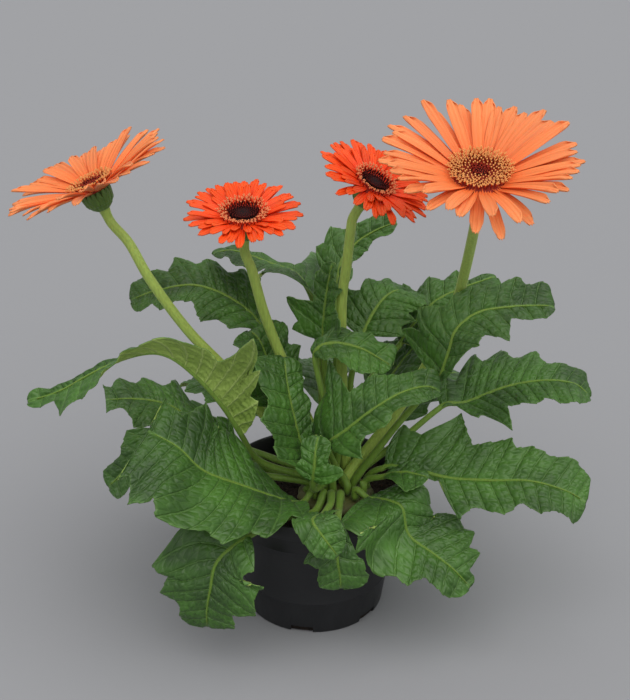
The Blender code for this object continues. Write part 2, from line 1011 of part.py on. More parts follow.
def make_stem(flower, parts, finish):
    """The round stem from the crown to the underside of the calyx."""
    lean = math.radians(flower.lean)
    toward = math.radians(flower.lean_toward)
    facing = np.array([math.sin(lean) * math.cos(toward), math.sin(lean) * math.sin(toward), math.cos(lean)])
    head = np.array(flower.head)
    top = head - facing * (CALYX_HEIGHT + 2 * TOUCH_GAP)
    neck = top - facing * NECK_LENGTH
    start = np.array(crown_point(*flower.root, STEM_BASE_RADIUS))
    rising = start + np.array([0, 0, STALK_RISE])
    _, places, _ = smooth_route([start, rising] + flower.route + [neck, top], STEM_POINT_SPACING)
    curve = bpy.data.curves.new(f"{flower.name}_stem", "CURVE")
    curve.dimensions = "3D"
    curve.bevel_depth = STEM_BASE_RADIUS
    curve.bevel_resolution = 2
    curve.use_fill_caps = True
    spline = curve.splines.new("POLY")
    spline.points.add(len(places) - 1)
    shrink = STEM_TOP_RADIUS / STEM_BASE_RADIUS
    for index, (point, place) in enumerate(zip(spline.points, places)):
        point.co = (*place, 1)
        point.radius = 1 + (shrink - 1) * index / (len(places) - 1)
    return add_object(f"{flower.name}_stem", curve, parts, finish)


def ray_ring(flower):
    """The ring of rays as one star-shaped sheet of even thickness, facing +Z."""
    shape = bmesh.new()
    rise = math.tan(math.radians(flower.rise))
    inner = flower.disc_radius * 0.5
    columns = []
    for index in range(2 * flower.rays):
        turn = math.tau * index / (2 * flower.rays)
        reach = flower.radius if index % 2 else flower.radius * RAY_GAP_SHARE
        column = []
        for radius in (inner, reach):
            height = rise * (radius - inner)
            for level in (height, height + RAY_THICKNESS):
                column.append(shape.verts.new((radius * math.cos(turn), radius * math.sin(turn), level)))
        columns.append(column)
    for near, after in zip(columns, columns[1:] + columns[:1]):
        for a, b in ((0, 1), (1, 3), (3, 2), (2, 0)):
            shape.faces.new((near[a], near[b], after[b], after[a]))
    bmesh.ops.triangulate(shape, faces=shape.faces[:])
    bmesh.ops.recalc_face_normals(shape, faces=shape.faces[:])
    return shape


def make_flower(flower, parts, finishes):
    """Calyx, ring of rays, ring of small florets and disc, on one tilted empty, and the stem."""
    frame = bpy.data.objects.new(f"{flower.name}_head", None)
    parts.objects.link(frame)
    toward = math.radians(flower.lean_toward)
    frame.location = flower.head
    frame.rotation_euler = (0, math.radians(flower.lean), toward)
    make_stem(flower, parts, finishes["stem"])

    stem = STEM_TOP_RADIUS
    calyx_profile = [
        (0.0, -TOUCH_GAP),
        (CALYX_RADIUS, -TOUCH_GAP),
        (CALYX_RADIUS * 1.02, -0.30 * CALYX_HEIGHT),
        (CALYX_RADIUS * 0.88, -0.65 * CALYX_HEIGHT),
        (CALYX_RADIUS * 0.55, -0.92 * CALYX_HEIGHT),
        (stem, -CALYX_HEIGHT),
        (0.0, -CALYX_HEIGHT),
    ]
    calyx = turned(f"{flower.name}_calyx", calyx_profile, parts, finishes["calyx"], HEAD_STEPS)

    shape = ray_ring(flower)
    mesh = bpy.data.meshes.new(f"{flower.name}_rays")
    shape.to_mesh(mesh)
    shape.free()
    rays = add_object(f"{flower.name}_rays", mesh, parts, finishes["ray"])

    rise = math.tan(math.radians(flower.rise))
    hollow = flower.disc_radius * 0.5

    def ray_top(radius):
        return rise * max(radius - hollow, 0) + RAY_THICKNESS + TOUCH_GAP

    inside = flower.disc_radius + TOUCH_GAP
    ring_profile = [
        (inside, ray_top(flower.ring_radius) + 0.40 * FLORET_HEIGHT),
        (inside + 0.3 * (flower.ring_radius - inside), ray_top(flower.ring_radius) + FLORET_HEIGHT),
        (flower.ring_radius, ray_top(flower.ring_radius) + 0.75 * FLORET_HEIGHT),
        (0.92 * flower.ring_radius, ray_top(flower.ring_radius)),
        (inside, ray_top(flower.ring_radius)),
    ]
    ring = turned(f"{flower.name}_florets", ring_profile, parts, finishes["floret"], HEAD_STEPS)

    base = ray_top(flower.disc_radius)
    disc_profile = [
        (0.0, base + 0.8 * FLORET_HEIGHT),
        (0.55 * flower.disc_radius, base + 0.9 * FLORET_HEIGHT),
        (flower.disc_radius, base + 0.4 * FLORET_HEIGHT),
        (flower.disc_radius, base),
        (0.0, base),
    ]
    disc = turned(f"{flower.name}_disc", disc_profile, parts, finishes["disc"], HEAD_STEPS)
    for item in (calyx, rays, ring, disc):
        item.parent = frame


def main():
    """Builds every piece."""
    clear_scene()
    parts = collection("potted_gerbera")
    cutters = collection("cutters")
    finishes = {
        "pot": material("pot_plastic", (0.012, 0.013, 0.014), 0.5),
        "compost": material("peat_compost", (0.03, 0.02, 0.013), 0.95),
        "crown": material("crown_tissue", (0.16, 0.12, 0.05), 0.8),
        "leaf": material("leaf_blade", (0.07, 0.17, 0.04), 0.45),
        "stem": material("stem_skin", (0.26, 0.35, 0.08), 0.5),
        "calyx": material("calyx_bracts", (0.16, 0.25, 0.07), 0.6),
        "ray": material("ray_petal", (0.93, 0.18, 0.05), 0.5),
        "floret": material("inner_floret", (0.85, 0.14, 0.03), 0.6),
        "disc": material("disc_floret", (0.04, 0.005, 0.008), 0.7),
    }
    make_pot(parts, cutters, finishes["pot"])
    make_compost(parts, finishes["compost"])
    make_crown(parts, finishes["crown"])
    for leaf in LEAVES:
        form = LeafForm(leaf)
        lofted(leaf.name, form.stalk_rings() + form.blade_rings(), parts, finishes["leaf"])
    for flower in FLOWERS:
        make_flower(flower, parts, finishes)


main()
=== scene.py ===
"""A potted gerbera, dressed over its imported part: quilted leaves, strap-petalled flowers, pot and compost.

Metres, +Z up. The origin is the middle of the pot's base, and -Y is the plant's front.
"""

import logging
import math
from dataclasses import dataclass, field
from enum import Enum

import bmesh
import bpy
import numpy as np
from mathutils import Euler, Matrix, Vector


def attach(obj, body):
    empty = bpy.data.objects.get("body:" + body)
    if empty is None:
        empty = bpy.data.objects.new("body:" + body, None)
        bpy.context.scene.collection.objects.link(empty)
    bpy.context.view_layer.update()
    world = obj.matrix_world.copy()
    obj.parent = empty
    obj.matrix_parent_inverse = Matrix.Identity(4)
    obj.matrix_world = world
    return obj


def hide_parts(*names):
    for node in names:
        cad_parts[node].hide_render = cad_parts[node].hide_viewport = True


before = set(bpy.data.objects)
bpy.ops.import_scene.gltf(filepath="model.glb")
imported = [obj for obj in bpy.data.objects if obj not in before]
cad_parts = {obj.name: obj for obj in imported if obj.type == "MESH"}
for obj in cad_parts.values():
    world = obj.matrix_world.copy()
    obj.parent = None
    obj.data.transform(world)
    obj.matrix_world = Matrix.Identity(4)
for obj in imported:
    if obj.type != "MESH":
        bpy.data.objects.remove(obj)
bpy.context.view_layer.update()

LOG = logging.getLogger("gerbera")
MM = 0.001
BODY = "root"
Grid = np.ndarray
Colour = tuple[float, float, float, float]


# ---- small tools ----


def linear(code: str) -> Colour:
    """Turns an sRGB hex code into a linear colour.

    Args:
        code: a colour such as "#4A7034".

    Returns:
        Linear red, green, blue and an alpha of 1.
    """
    shares = [int(code[i : i + 2], 16) / 255 for i in (1, 3, 5)]
    red, green, blue = (c / 12.92 if c <= 0.04045 else ((c + 0.055) / 1.055) ** 2.4 for c in shares)
    return (red, green, blue, 1.0)


def add_node(
    tree: bpy.types.NodeTree, kind: str, feeds: dict | None = None, out: str | int = 0, **settings: object
) -> bpy.types.NodeSocket:
    """Adds a node with its settings and links.

    Args:
        tree: the material's nodes.
        kind: Blender's name for the kind of node.
        feeds: what each input gets, by name or index: an output of another node, or a value.
        out: the output that is wanted.
        settings: the node's own properties.

    Returns:
        That output of the new node.
    """
    node = tree.nodes.new(kind)
    for name, value in settings.items():
        setattr(node, name, value)
    for key, value in (feeds or {}).items():
        if isinstance(value, bpy.types.NodeSocket):
            tree.links.new(value, node.inputs[key])
        else:
            node.inputs[key].default_value = value
    return node.outputs[out]


def blank_material(name: str, **sockets: object) -> tuple[bpy.types.Material, bpy.types.Node]:
    """A material with one Principled shader.

    Args:
        name: the material's name.
        sockets: shader values, with underscores for the spaces in socket names.

    Returns:
        The material and its shader node.
    """
    made = bpy.data.materials.new(name)
    made.use_nodes = True
    shader = made.node_tree.nodes["Principled BSDF"]
    for key, value in sockets.items():
        shader.inputs[key.replace("_", " ").title().replace("Ior", "IOR")].default_value = value
    return made, shader


def unit(rows: Grid) -> Grid:
    """The rows of an array at length 1."""
    return rows / np.maximum(np.linalg.norm(rows, axis=-1, keepdims=True), 1e-12)


def ease(value: Grid, low: float, high: float) -> Grid:
    """Rises smoothly from 0 at low to 1 at high."""
    share = np.clip((value - low) / (high - low), 0, 1)
    return share * share * (3 - 2 * share)


def waves(points: Grid, size: float, seed: int, count: int = 9) -> Grid:
    """Smooth noise from about -1 to 1.

    Args:
        points: places, in metres.
        size: the length of its features.
        seed: which noise.
        count: how many sine waves are summed.

    Returns:
        One value for each point.
    """
    rng = np.random.default_rng(seed)
    total = np.zeros(points.shape[:-1])
    for _ in range(count):
        way = unit(rng.normal(size=3)) * rng.uniform(0.7, 1.5) * math.tau / size
        total += np.sin(points @ way + rng.uniform(0, math.tau))
    return total / (count / 2)


def smooth_route(points: Grid, step: float = 0.001) -> tuple[Grid, Grid, Grid]:
    """A smooth curve through points.

    Args:
        points: the places that it passes through.
        step: the distance between the places returned.

    Returns:
        Distances along the curve, the places at them, and the distance of each point given.
    """
    given = np.asarray(points, float)
    knots = np.vstack([2 * given[0] - given[1], given, 2 * given[-1] - given[-2]])
    share = np.linspace(0, 1, 24, endpoint=False)[:, None]
    spans = []
    for a, b, c, d in zip(knots, knots[1:], knots[2:], knots[3:]):
        cubic = -a + 3 * b - 3 * c + d
        square = 2 * a - 5 * b + 4 * c - d
        spans.append(0.5 * (2 * b + (c - a) * share + square * share**2 + cubic * share**3))
    dense = np.vstack(spans + [given[-1:]])
    gone = np.concatenate([[0], np.cumsum(np.linalg.norm(np.diff(dense, axis=0), axis=1))])
    along = np.linspace(0, gone[-1], max(int(gone[-1] / step), 8))
    places = np.stack([np.interp(along, gone, dense[:, i]) for i in range(3)], 1)
    return along, places, gone[::24]


def tube_rings(path: Grid, across: Grid, wide: Grid, tall: Grid, sides: int) -> Grid:
    """Rings of points round a path.

    Args:
        path: the tube's middle line.
        across: directions across the path, one for each place on it.
        wide: half widths along those directions.
        tall: half heights square to them.
        sides: points in each ring.

    Returns:
        An array of rings, points and coordinates.
    """
    tangent = unit(np.gradient(path, axis=0))
    across = unit(across - (across * tangent).sum(1, keepdims=True) * tangent)
    upward = np.cross(tangent, across)
    turns = np.linspace(0, math.tau, sides, endpoint=False)
    side = across[:, None] * (wide[:, None] * np.cos(turns))[..., None]
    rise = upward[:, None] * (tall[:, None] * np.sin(turns))[..., None]
    return path[:, None] + side + rise


class Shell:
    """Gathers sheets of quads into one mesh with its UV layers and materials."""

    def __init__(self) -> None:
        """Starts with nothing in it."""
        self.points: list[Grid] = []
        self.faces: list[tuple[int, ...]] = []
        self.corners: dict[str, list[tuple[float, float]]] = {}
        self.slots: list[int] = []
        self.count = 0

    def sheet(
        self,
        points: Grid,
        layers: dict[str, Grid] | None = None,
        wrap: bool = False,
        caps: bool = False,
        slot: int = 0,
        right: dict[str, Grid] | None = None,
    ) -> None:
        """Adds a grid of points as a sheet.

        Args:
            points: rows, columns and coordinates.
            layers: UV layers by name, each rows, columns and two values.
            wrap: whether the last column joins the first, as round a tube.
            caps: whether the first and last rows are filled.
            slot: the material slot of its faces.
            right: layers used past the middle column instead of layers.
        """
        rows, columns = points.shape[:2]
        base = self.count
        self.points.append(points.reshape(-1, 3))
        self.count += rows * columns
        layers = layers or {}
        middle = columns // 2
        for j in range(columns if wrap else columns - 1):
            after = (j + 1) % columns
            used = right if right and j >= middle else layers
            for i in range(rows - 1):
                spots = ((i, j), (i, after), (i + 1, after), (i + 1, j))
                self.faces.append(tuple(base + r * columns + c for r, c in spots))
                self.slots.append(slot)
                for name, values in used.items():
                    self.corners.setdefault(name, []).extend(tuple(values[r, c]) for r, c in spots)
        if caps:
            for row, order in ((0, range(columns - 1, -1, -1)), (rows - 1, range(columns))):
                self.faces.append(tuple(base + row * columns + c for c in order))
                self.slots.append(slot)
                for name, values in layers.items():
                    self.corners.setdefault(name, []).extend(tuple(values[row, c]) for c in order)

    def piece(
        self, name: str, finishes: list[bpy.types.Material], nodes: tuple[str, ...] = ()
    ) -> bpy.types.Object:
        """Makes the gathered sheets into one piece that rides on the part.

        Args:
            name: the piece's name.
            finishes: the materials, in slot order.
            nodes: the CAD nodes that the piece stands for.

        Returns:
            The new object.
        """
        mesh = bpy.data.meshes.new(name)
        mesh.from_pydata(np.vstack(self.points).tolist(), [], self.faces)
        for layer, values in self.corners.items():
            uv = mesh.uv_layers.new(name=layer)
            uv.data.foreach_set("uv", np.asarray(values, np.float32).ravel())
        for finish in finishes:
            mesh.materials.append(finish)
        mesh.polygons.foreach_set("material_index", self.slots)
        mesh.shade_smooth()
        return settle(bpy.data.objects.new(name, mesh), nodes)


def settle(item: bpy.types.Object, nodes: tuple[str, ...] = ()) -> bpy.types.Object:
    """Links a piece, rides it on the part and hides the CAD nodes that it stands for.

    Args:
        item: the new object.
        nodes: the CAD nodes that the piece stands for.

    Returns:
        The same object.
    """
    if not item.users_collection:
        bpy.context.scene.collection.objects.link(item)
    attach(item, BODY)
    if nodes:
        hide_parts(*nodes)
    LOG.info("%s: %d faces", item.name, len(item.data.polygons))
    return item


# ---- finishes ----

VEIN_LAYER_SCALE = 100          # units of the vein layer for each metre out from the midrib


class Side(Enum):
    """The two faces of a leaf blade."""

    UPPER = "upper"
    UNDER = "under"


@dataclass(frozen=True)
class LeafBlade:
    """Living leaf tissue under a thin waxy cuticle: satin, quilted green with paler sunk veins."""

    side: Side = Side.UPPER
    dark: str = "#2A4C15"
    light: str = "#4B7A28"
    vein: str = "#628A3E"
    roughness: float = 0.42
    patch_mm: float = 38.0      # size of the slow changes in green
    grain_mm: float = 1.6       # the skin's own grain, drawn coarse enough to show
    net_share: float = 0.50     # the finest net of veins against the spacing of side veins
    net_strength: float = 0.14
    side_strength: float = 0.24
    midrib_strength: float = 0.7
    side_vein: tuple[float, float] = (0.025, 0.085)     # half width and fade, in vein spacings
    midrib_mm: tuple[float, float] = (0.5, 1.6)         # half width and fade
    vein_wander: float = 0.16   # how far a side vein strays, in vein spacings
    relief_mm: float = 1.3
    oldest: float = 0.88        # how dark the oldest leaves are, and how pale the youngest
    youngest: float = 1.12

    def make(self) -> bpy.types.Material:
        """Makes the material.

        Returns:
            The material.
        """
        made, shader = blank_material(
            f"leaf_blade_{self.side.value}", specular_ior_level=0.5, sheen_weight=0.05, sheen_roughness=0.4
        )
        tree = made.node_tree
        veins = add_node(tree, "ShaderNodeUVMap", uv_map="veins")
        place = add_node(tree, "ShaderNodeTexCoord", out="Object")
        side = self.side_veins(tree, veins)
        net = add_node(
            tree, "ShaderNodeTexVoronoi",
            {"Vector": veins, "Scale": 1 / self.net_share, "Randomness": 0.85},
            feature="DISTANCE_TO_EDGE", voronoi_dimensions="2D",
        )
        tree.links.new(self.green(tree, veins, place, side, net), shader.inputs["Base Color"])
        way = 1.0 if self.side is Side.UPPER else -1.0
        swollen = {"Value": net, "From Max": 0.30, "To Max": 0.40 * way}
        pillow = add_node(tree, "ShaderNodeMapRange", swollen)
        sunk = add_node(tree, "ShaderNodeMath", {0: side, 1: -0.55 * way}, operation="MULTIPLY")
        height = add_node(tree, "ShaderNodeMath", {0: pillow, 1: sunk}, operation="ADD")
        grain = add_node(
            tree, "ShaderNodeTexNoise", {"Vector": place, "Scale": 1 / (self.grain_mm * MM), "Detail": 2.0}
        )
        fine = add_node(tree, "ShaderNodeMath", {0: grain, 1: 0.12}, operation="MULTIPLY")
        height = add_node(tree, "ShaderNodeMath", {0: height, 1: fine}, operation="ADD")
        bump = add_node(
            tree, "ShaderNodeBump", {"Height": height, "Strength": 0.85, "Distance": self.relief_mm * MM}
        )
        tree.links.new(bump, shader.inputs["Normal"])
        low, high = self.roughness - 0.05, self.roughness + 0.12
        rough = add_node(tree, "ShaderNodeMapRange", {"Value": grain, "To Min": low, "To Max": high})
        tree.links.new(rough, shader.inputs["Roughness"])
        return made

    def side_veins(self, tree: bpy.types.NodeTree, veins: bpy.types.NodeSocket) -> bpy.types.NodeSocket:
        """A mask that is 1 on the side veins, which wander a little.

        Args:
            tree: the material's nodes.
            veins: the vein layer, whole at each side vein.

        Returns:
            The mask.
        """
        across = add_node(tree, "ShaderNodeSeparateXYZ", {0: veins}, out="X")
        bent = add_node(tree, "ShaderNodeTexNoise", {"Vector": veins, "Scale": 3.0, "Detail": 2.0})
        shift = add_node(tree, "ShaderNodeMath", {0: bent, 1: -0.5}, operation="ADD")
        shift = add_node(tree, "ShaderNodeMath", {0: shift, 1: self.vein_wander}, operation="MULTIPLY")
        phase = add_node(tree, "ShaderNodeMath", {0: across, 1: shift}, operation="ADD")
        for operation, value in (("ADD", 0.5), ("FRACT", 0.0), ("SUBTRACT", 0.5), ("ABSOLUTE", 0.0)):
            phase = add_node(tree, "ShaderNodeMath", {0: phase, 1: value}, operation=operation)
        near, far = self.side_vein
        edges = {"Value": phase, "From Min": near, "From Max": far, "To Min": 1.0, "To Max": 0.0}
        return add_node(tree, "ShaderNodeMapRange", edges, interpolation_type="SMOOTHSTEP")

    def green(
        self,
        tree: bpy.types.NodeTree,
        veins: bpy.types.NodeSocket,
        place: bpy.types.NodeSocket,
        side: bpy.types.NodeSocket,
        net: bpy.types.NodeSocket,
    ) -> bpy.types.NodeSocket:
        """The blade's colour: mottled green, with paler veins and margin.

        Args:
            tree: the material's nodes.
            veins: the vein layer.
            place: the object's own coordinates.
            side: the mask of the side veins.
            net: the distance from the finest veins.

        Returns:
            The colour.
        """
        edges = {"Value": net, "From Min": 0.01, "From Max": 0.10, "To Min": 1.0, "To Max": 0.0}
        net_line = add_node(tree, "ShaderNodeMapRange", edges, interpolation_type="SMOOTHSTEP")
        outward = add_node(tree, "ShaderNodeSeparateXYZ", {0: veins}, out="Y")
        outward = add_node(tree, "ShaderNodeMath", {0: outward}, operation="ABSOLUTE")
        near, far = (size * MM * VEIN_LAYER_SCALE for size in self.midrib_mm)
        edges = {"Value": outward, "From Min": near, "From Max": far, "To Min": 1.0, "To Max": 0.0}
        midrib = add_node(tree, "ShaderNodeMapRange", edges, interpolation_type="SMOOTHSTEP")
        patches = add_node(
            tree, "ShaderNodeTexNoise",
            {"Vector": place, "Scale": 1 / (self.patch_mm * MM), "Detail": 4.0, "Roughness": 0.6},
        )
        edges = {"Value": patches, "From Min": 0.35, "From Max": 0.68}
        patches = add_node(tree, "ShaderNodeMapRange", edges)
        blade = add_node(tree, "ShaderNodeUVMap", uv_map="blade")
        margin = add_node(tree, "ShaderNodeSeparateXYZ", {0: blade}, out="Y")
        margin = add_node(tree, "ShaderNodeMath", {0: margin}, operation="ABSOLUTE")
        edges = {"Value": margin, "From Min": 0.955, "From Max": 1.0}
        margin = add_node(tree, "ShaderNodeMapRange", edges)
        colours = {0: patches, 6: linear(self.dark), 7: linear(self.light)}
        green = add_node(tree, "ShaderNodeMix", colours, out=2, data_type="RGBA")
        strengths = (
            (net_line, self.net_strength), (side, self.side_strength),
            (midrib, self.midrib_strength), (margin, 0.55),
        )
        for mask, strength in strengths:
            share = add_node(tree, "ShaderNodeMath", {0: mask, 1: strength}, operation="MULTIPLY")
            colours = {0: share, 6: green, 7: linear(self.vein)}
            green = add_node(tree, "ShaderNodeMix", colours, out=2, data_type="RGBA")
        one = add_node(tree, "ShaderNodeObjectInfo", out="Random")
        age = add_node(
            tree, "ShaderNodeMapRange", {"Value": one, "To Min": self.oldest, "To Max": self.youngest}
        )
        return add_node(tree, "ShaderNodeHueSaturation", {"Value": age, "Color": green})


@dataclass(frozen=True)
class RayTissue:
    """Petal tissue of velvety cells: soft satin, ribbed lengthwise with painted groove shade, redder at base
    than tip.
    """

    name: str
    base: str
    middle: str
    tip: str
    rib_mm: float = 0.7         # spacing of the fine lengthwise ribs
    petal_mm: float = 3.5       # the half width that the ribs are spread over

    def make(self) -> bpy.types.Material:
        """Makes the material.

        Returns:
            The material.
        """
        made, shader = blank_material(
            self.name, roughness=0.5, specular_ior_level=0.35, sheen_weight=0.25, sheen_roughness=0.35,
            sheen_tint=linear(self.tip), subsurface_weight=0.12, subsurface_scale=0.0015,
        )
        tree = made.node_tree
        spot = add_node(tree, "ShaderNodeUVMap", uv_map="petal")
        tone = add_node(tree, "ShaderNodeUVMap", uv_map="tone")
        axes = add_node(tree, "ShaderNodeSeparateXYZ", {0: spot}).node.outputs
        own = add_node(tree, "ShaderNodeSeparateXYZ", {0: tone}, out="X")
        ramp = add_node(tree, "ShaderNodeValToRGB", {"Fac": axes["Y"]})
        stops = ramp.node.color_ramp.elements
        stops[0].position, stops[0].color = 0.0, linear(self.base)
        stops[1].position, stops[1].color = 1.0, linear(self.tip)
        stops.new(0.38).color = linear(self.middle)
        stretches = ((axes["X"], self.petal_mm / self.rib_mm), (axes["Y"], 1.1), (own, 37.0))
        stretched = {
            index: add_node(tree, "ShaderNodeMath", {0: value, 1: factor}, operation="MULTIPLY")
            for index, (value, factor) in enumerate(stretches)
        }
        spread = add_node(tree, "ShaderNodeCombineXYZ", stretched)
        ribs_and_groove_shade = add_node(
            tree, "ShaderNodeTexNoise", {"Vector": spread, "Scale": 1.0, "Detail": 3.0, "Roughness": 0.6}
        )
        # The streaks darken where the ribs sink: partly the petal's own streaking, partly painted shade in
        # the grooves.
        shade = add_node(
            tree, "ShaderNodeMapRange",
            {"Value": ribs_and_groove_shade, "From Min": 0.3, "From Max": 0.7, "To Min": 0.84, "To Max": 1.06},
        )
        each = add_node(tree, "ShaderNodeMapRange", {"Value": own, "To Min": 0.90, "To Max": 1.06})
        shade = add_node(tree, "ShaderNodeMath", {0: shade, 1: each}, operation="MULTIPLY")
        colour = add_node(tree, "ShaderNodeHueSaturation", {"Value": shade, "Color": ramp})
        tree.links.new(colour, shader.inputs["Base Color"])
        bump = add_node(tree, "ShaderNodeBump", {"Height": ribs_and_groove_shade, "Strength": 0.5, "Distance": 0.6 * MM})
        tree.links.new(bump, shader.inputs["Normal"])
        return made


@dataclass(frozen=True)
class FloretTissue:
    """Tissue of the small florets and buds: waxy, its colour running from root to tip."""

    name: str
    root: str
    middle: str
    tip: str
    roughness: float = 0.5
    speck_scale: float = 900.0  # specks of about 1.1 mm, so that each floret differs a little

    def make(self) -> bpy.types.Material:
        """Makes the material.

        Returns:
            The material.
        """
        made, shader = blank_material(self.name, roughness=self.roughness, specular_ior_level=0.2)
        tree = made.node_tree
        spot = add_node(tree, "ShaderNodeUVMap", uv_map="petal")
        along = add_node(tree, "ShaderNodeSeparateXYZ", {0: spot}, out="Y")
        ramp = add_node(tree, "ShaderNodeValToRGB", {"Fac": along})
        stops = ramp.node.color_ramp.elements
        stops[0].position, stops[0].color = 0.15, linear(self.root)
        stops[1].position, stops[1].color = 0.85, linear(self.tip)
        stops.new(0.5).color = linear(self.middle)
        place = add_node(tree, "ShaderNodeTexCoord", out="Object")
        speck = add_node(
            tree, "ShaderNodeTexNoise", {"Vector": place, "Scale": self.speck_scale, "Detail": 2.0}
        )
        shade = add_node(
            tree, "ShaderNodeMapRange",
            {"Value": speck, "From Min": 0.3, "From Max": 0.7, "To Min": 0.8, "To Max": 1.15},
        )
        colour = add_node(tree, "ShaderNodeHueSaturation", {"Value": shade, "Color": ramp})
        tree.links.new(colour, shader.inputs["Base Color"])
        return made


@dataclass(frozen=True)
class StalkSkin:
    """Skin of stems and leaf stalks: pale green, finely hairy, so its edges catch a soft light."""

    name: str
    low: str
    high: str
    hair_mm: float = 0.9        # drawn coarser than the real down, which is too fine to show
    streak_mm: float = 1.4      # width of the lengthwise streaks
    low_at: float = 0.10        # height of the low colour in metres
    high_at: float = 0.33

    def make(self) -> bpy.types.Material:
        """Makes the material.

        Returns:
            The material.
        """
        made, shader = blank_material(
            self.name, roughness=0.55, specular_ior_level=0.35, sheen_weight=0.2, sheen_roughness=0.5,
            sheen_tint=linear("#DCE6BE"), subsurface_weight=0.08, subsurface_scale=0.002,
        )
        tree = made.node_tree
        place = add_node(tree, "ShaderNodeTexCoord", out="Object")
        height = add_node(tree, "ShaderNodeSeparateXYZ", {0: place}, out="Z")
        height = add_node(
            tree, "ShaderNodeMapRange", {"Value": height, "From Min": self.low_at, "From Max": self.high_at}
        )
        colours = {0: height, 6: linear(self.low), 7: linear(self.high)}
        green = add_node(tree, "ShaderNodeMix", colours, out=2, data_type="RGBA")
        lengths = add_node(tree, "ShaderNodeMapping", {"Vector": place, "Scale": (1.0, 1.0, 0.12)})
        streak = add_node(
            tree, "ShaderNodeTexNoise",
            {"Vector": lengths, "Scale": 1 / (self.streak_mm * MM), "Detail": 3.0},
        )
        shade = add_node(
            tree, "ShaderNodeMapRange",
            {"Value": streak, "From Min": 0.3, "From Max": 0.7, "To Min": 0.82, "To Max": 1.12},
        )
        colour = add_node(tree, "ShaderNodeHueSaturation", {"Value": shade, "Color": green})
        tree.links.new(colour, shader.inputs["Base Color"])
        down = add_node(
            tree, "ShaderNodeTexNoise", {"Vector": place, "Scale": 1 / (self.hair_mm * MM), "Detail": 4.0}
        )
        bump = add_node(tree, "ShaderNodeBump", {"Height": down, "Strength": 0.3, "Distance": 0.4 * MM})
        tree.links.new(bump, shader.inputs["Normal"])
        return made


@dataclass(frozen=True)
class PotPlastic:
    """Injection-moulded polypropylene: near black and satin, faintly marked, dusted with compost."""

    name: str = "polypropylene_black"
    colour: str = "#1B1C1E"
    dust: str = "#3A352F"
    grain_mm: float = 0.8
    flow_scale: float = 60.0
    dust_scale: float = 260.0

    def make(self) -> bpy.types.Material:
        """Makes the material.

        Returns:
            The material.
        """
        made, shader = blank_material(self.name, specular_ior_level=0.45, ior=1.49)
        tree = made.node_tree
        place = add_node(tree, "ShaderNodeTexCoord", out="Object")
        flow = add_node(tree, "ShaderNodeMapping", {"Vector": place, "Scale": (1.0, 1.0, 0.25)})
        marks = add_node(
            tree, "ShaderNodeTexNoise", {"Vector": flow, "Scale": self.flow_scale, "Detail": 5.0}
        )
        spots = add_node(
            tree, "ShaderNodeTexNoise",
            {"Vector": place, "Scale": self.dust_scale, "Detail": 6.0, "Roughness": 0.7},
        )
        dusty = add_node(
            tree, "ShaderNodeMapRange", {"Value": spots, "From Min": 0.58, "From Max": 0.78, "To Max": 0.35}
        )
        colours = {0: dusty, 6: linear(self.colour), 7: linear(self.dust)}
        colour = add_node(tree, "ShaderNodeMix", colours, out=2, data_type="RGBA")
        tree.links.new(colour, shader.inputs["Base Color"])
        rough = add_node(
            tree, "ShaderNodeMapRange",
            {"Value": marks, "From Min": 0.3, "From Max": 0.7, "To Min": 0.34, "To Max": 0.52},
        )
        tree.links.new(rough, shader.inputs["Roughness"])
        grain = add_node(
            tree, "ShaderNodeTexNoise", {"Vector": place, "Scale": 1 / (self.grain_mm * MM), "Detail": 3.0}
        )
        bump = add_node(tree, "ShaderNodeBump", {"Height": grain, "Strength": 0.12, "Distance": 0.3 * MM})
        tree.links.new(bump, shader.inputs["Normal"])
        return made


@dataclass(frozen=True)
class Compost:
    """Moist peat and bark: dark, rough crumbs with paler fibres."""

    name: str = "peat_compost"
    dark: str = "#1D1611"
    crumb: str = "#43342A"
    crumb_mm: float = 2.2
    fibre_scale: float = 420.0

    def make(self) -> bpy.types.Material:
        """Makes the material.

        Returns:
            The material.
        """
        made, shader = blank_material(self.name, roughness=0.9, specular_ior_level=0.25)
        tree = made.node_tree
        place = add_node(tree, "ShaderNodeTexCoord", out="Object")
        crumbs = add_node(
            tree, "ShaderNodeTexVoronoi", {"Vector": place, "Scale": 1 / (self.crumb_mm * MM)}
        )
        fibres = add_node(
            tree, "ShaderNodeTexNoise",
            {"Vector": place, "Scale": self.fibre_scale, "Detail": 6.0, "Roughness": 0.7},
        )
        share = add_node(tree, "ShaderNodeMapRange", {"Value": fibres, "From Min": 0.4, "From Max": 0.75})
        colours = {0: share, 6: linear(self.dark), 7: linear(self.crumb)}
        colour = add_node(tree, "ShaderNodeMix", colours, out=2, data_type="RGBA")
        tree.links.new(colour, shader.inputs["Base Color"])
        height = add_node(tree, "ShaderNodeMath", {0: crumbs, 1: fibres}, operation="ADD")
        bump = add_node(tree, "ShaderNodeBump", {"Height": height, "Strength": 0.9, "Distance": 1.5 * MM})
        tree.links.new(bump, shader.inputs["Normal"])
        return made


@dataclass(frozen=True)
class Paper:
    """Seamless backdrop paper: matt, pale and even."""

    name: str = "backdrop_paper"
    colour: str = "#97989C"

    def make(self) -> bpy.types.Material:
        """Makes the material.

        Returns:
            The material.
        """
        made, shader = blank_material(self.name, roughness=0.85, specular_ior_level=0.2)
        shader.inputs["Base Color"].default_value = linear(self.colour)
        return made


# ---- pot, compost and crown ----

POT_HEIGHT = 0.105
POT_RIM_RADIUS = 0.070
POT_BASE_RADIUS = 0.0525
COMPOST_TOP = 0.093
COMPOST_GAP = 0.0003
CROWN_PLACE = (0.016, -0.006)
CROWN_RADIUS = 0.028
CROWN_HEIGHT = 0.010


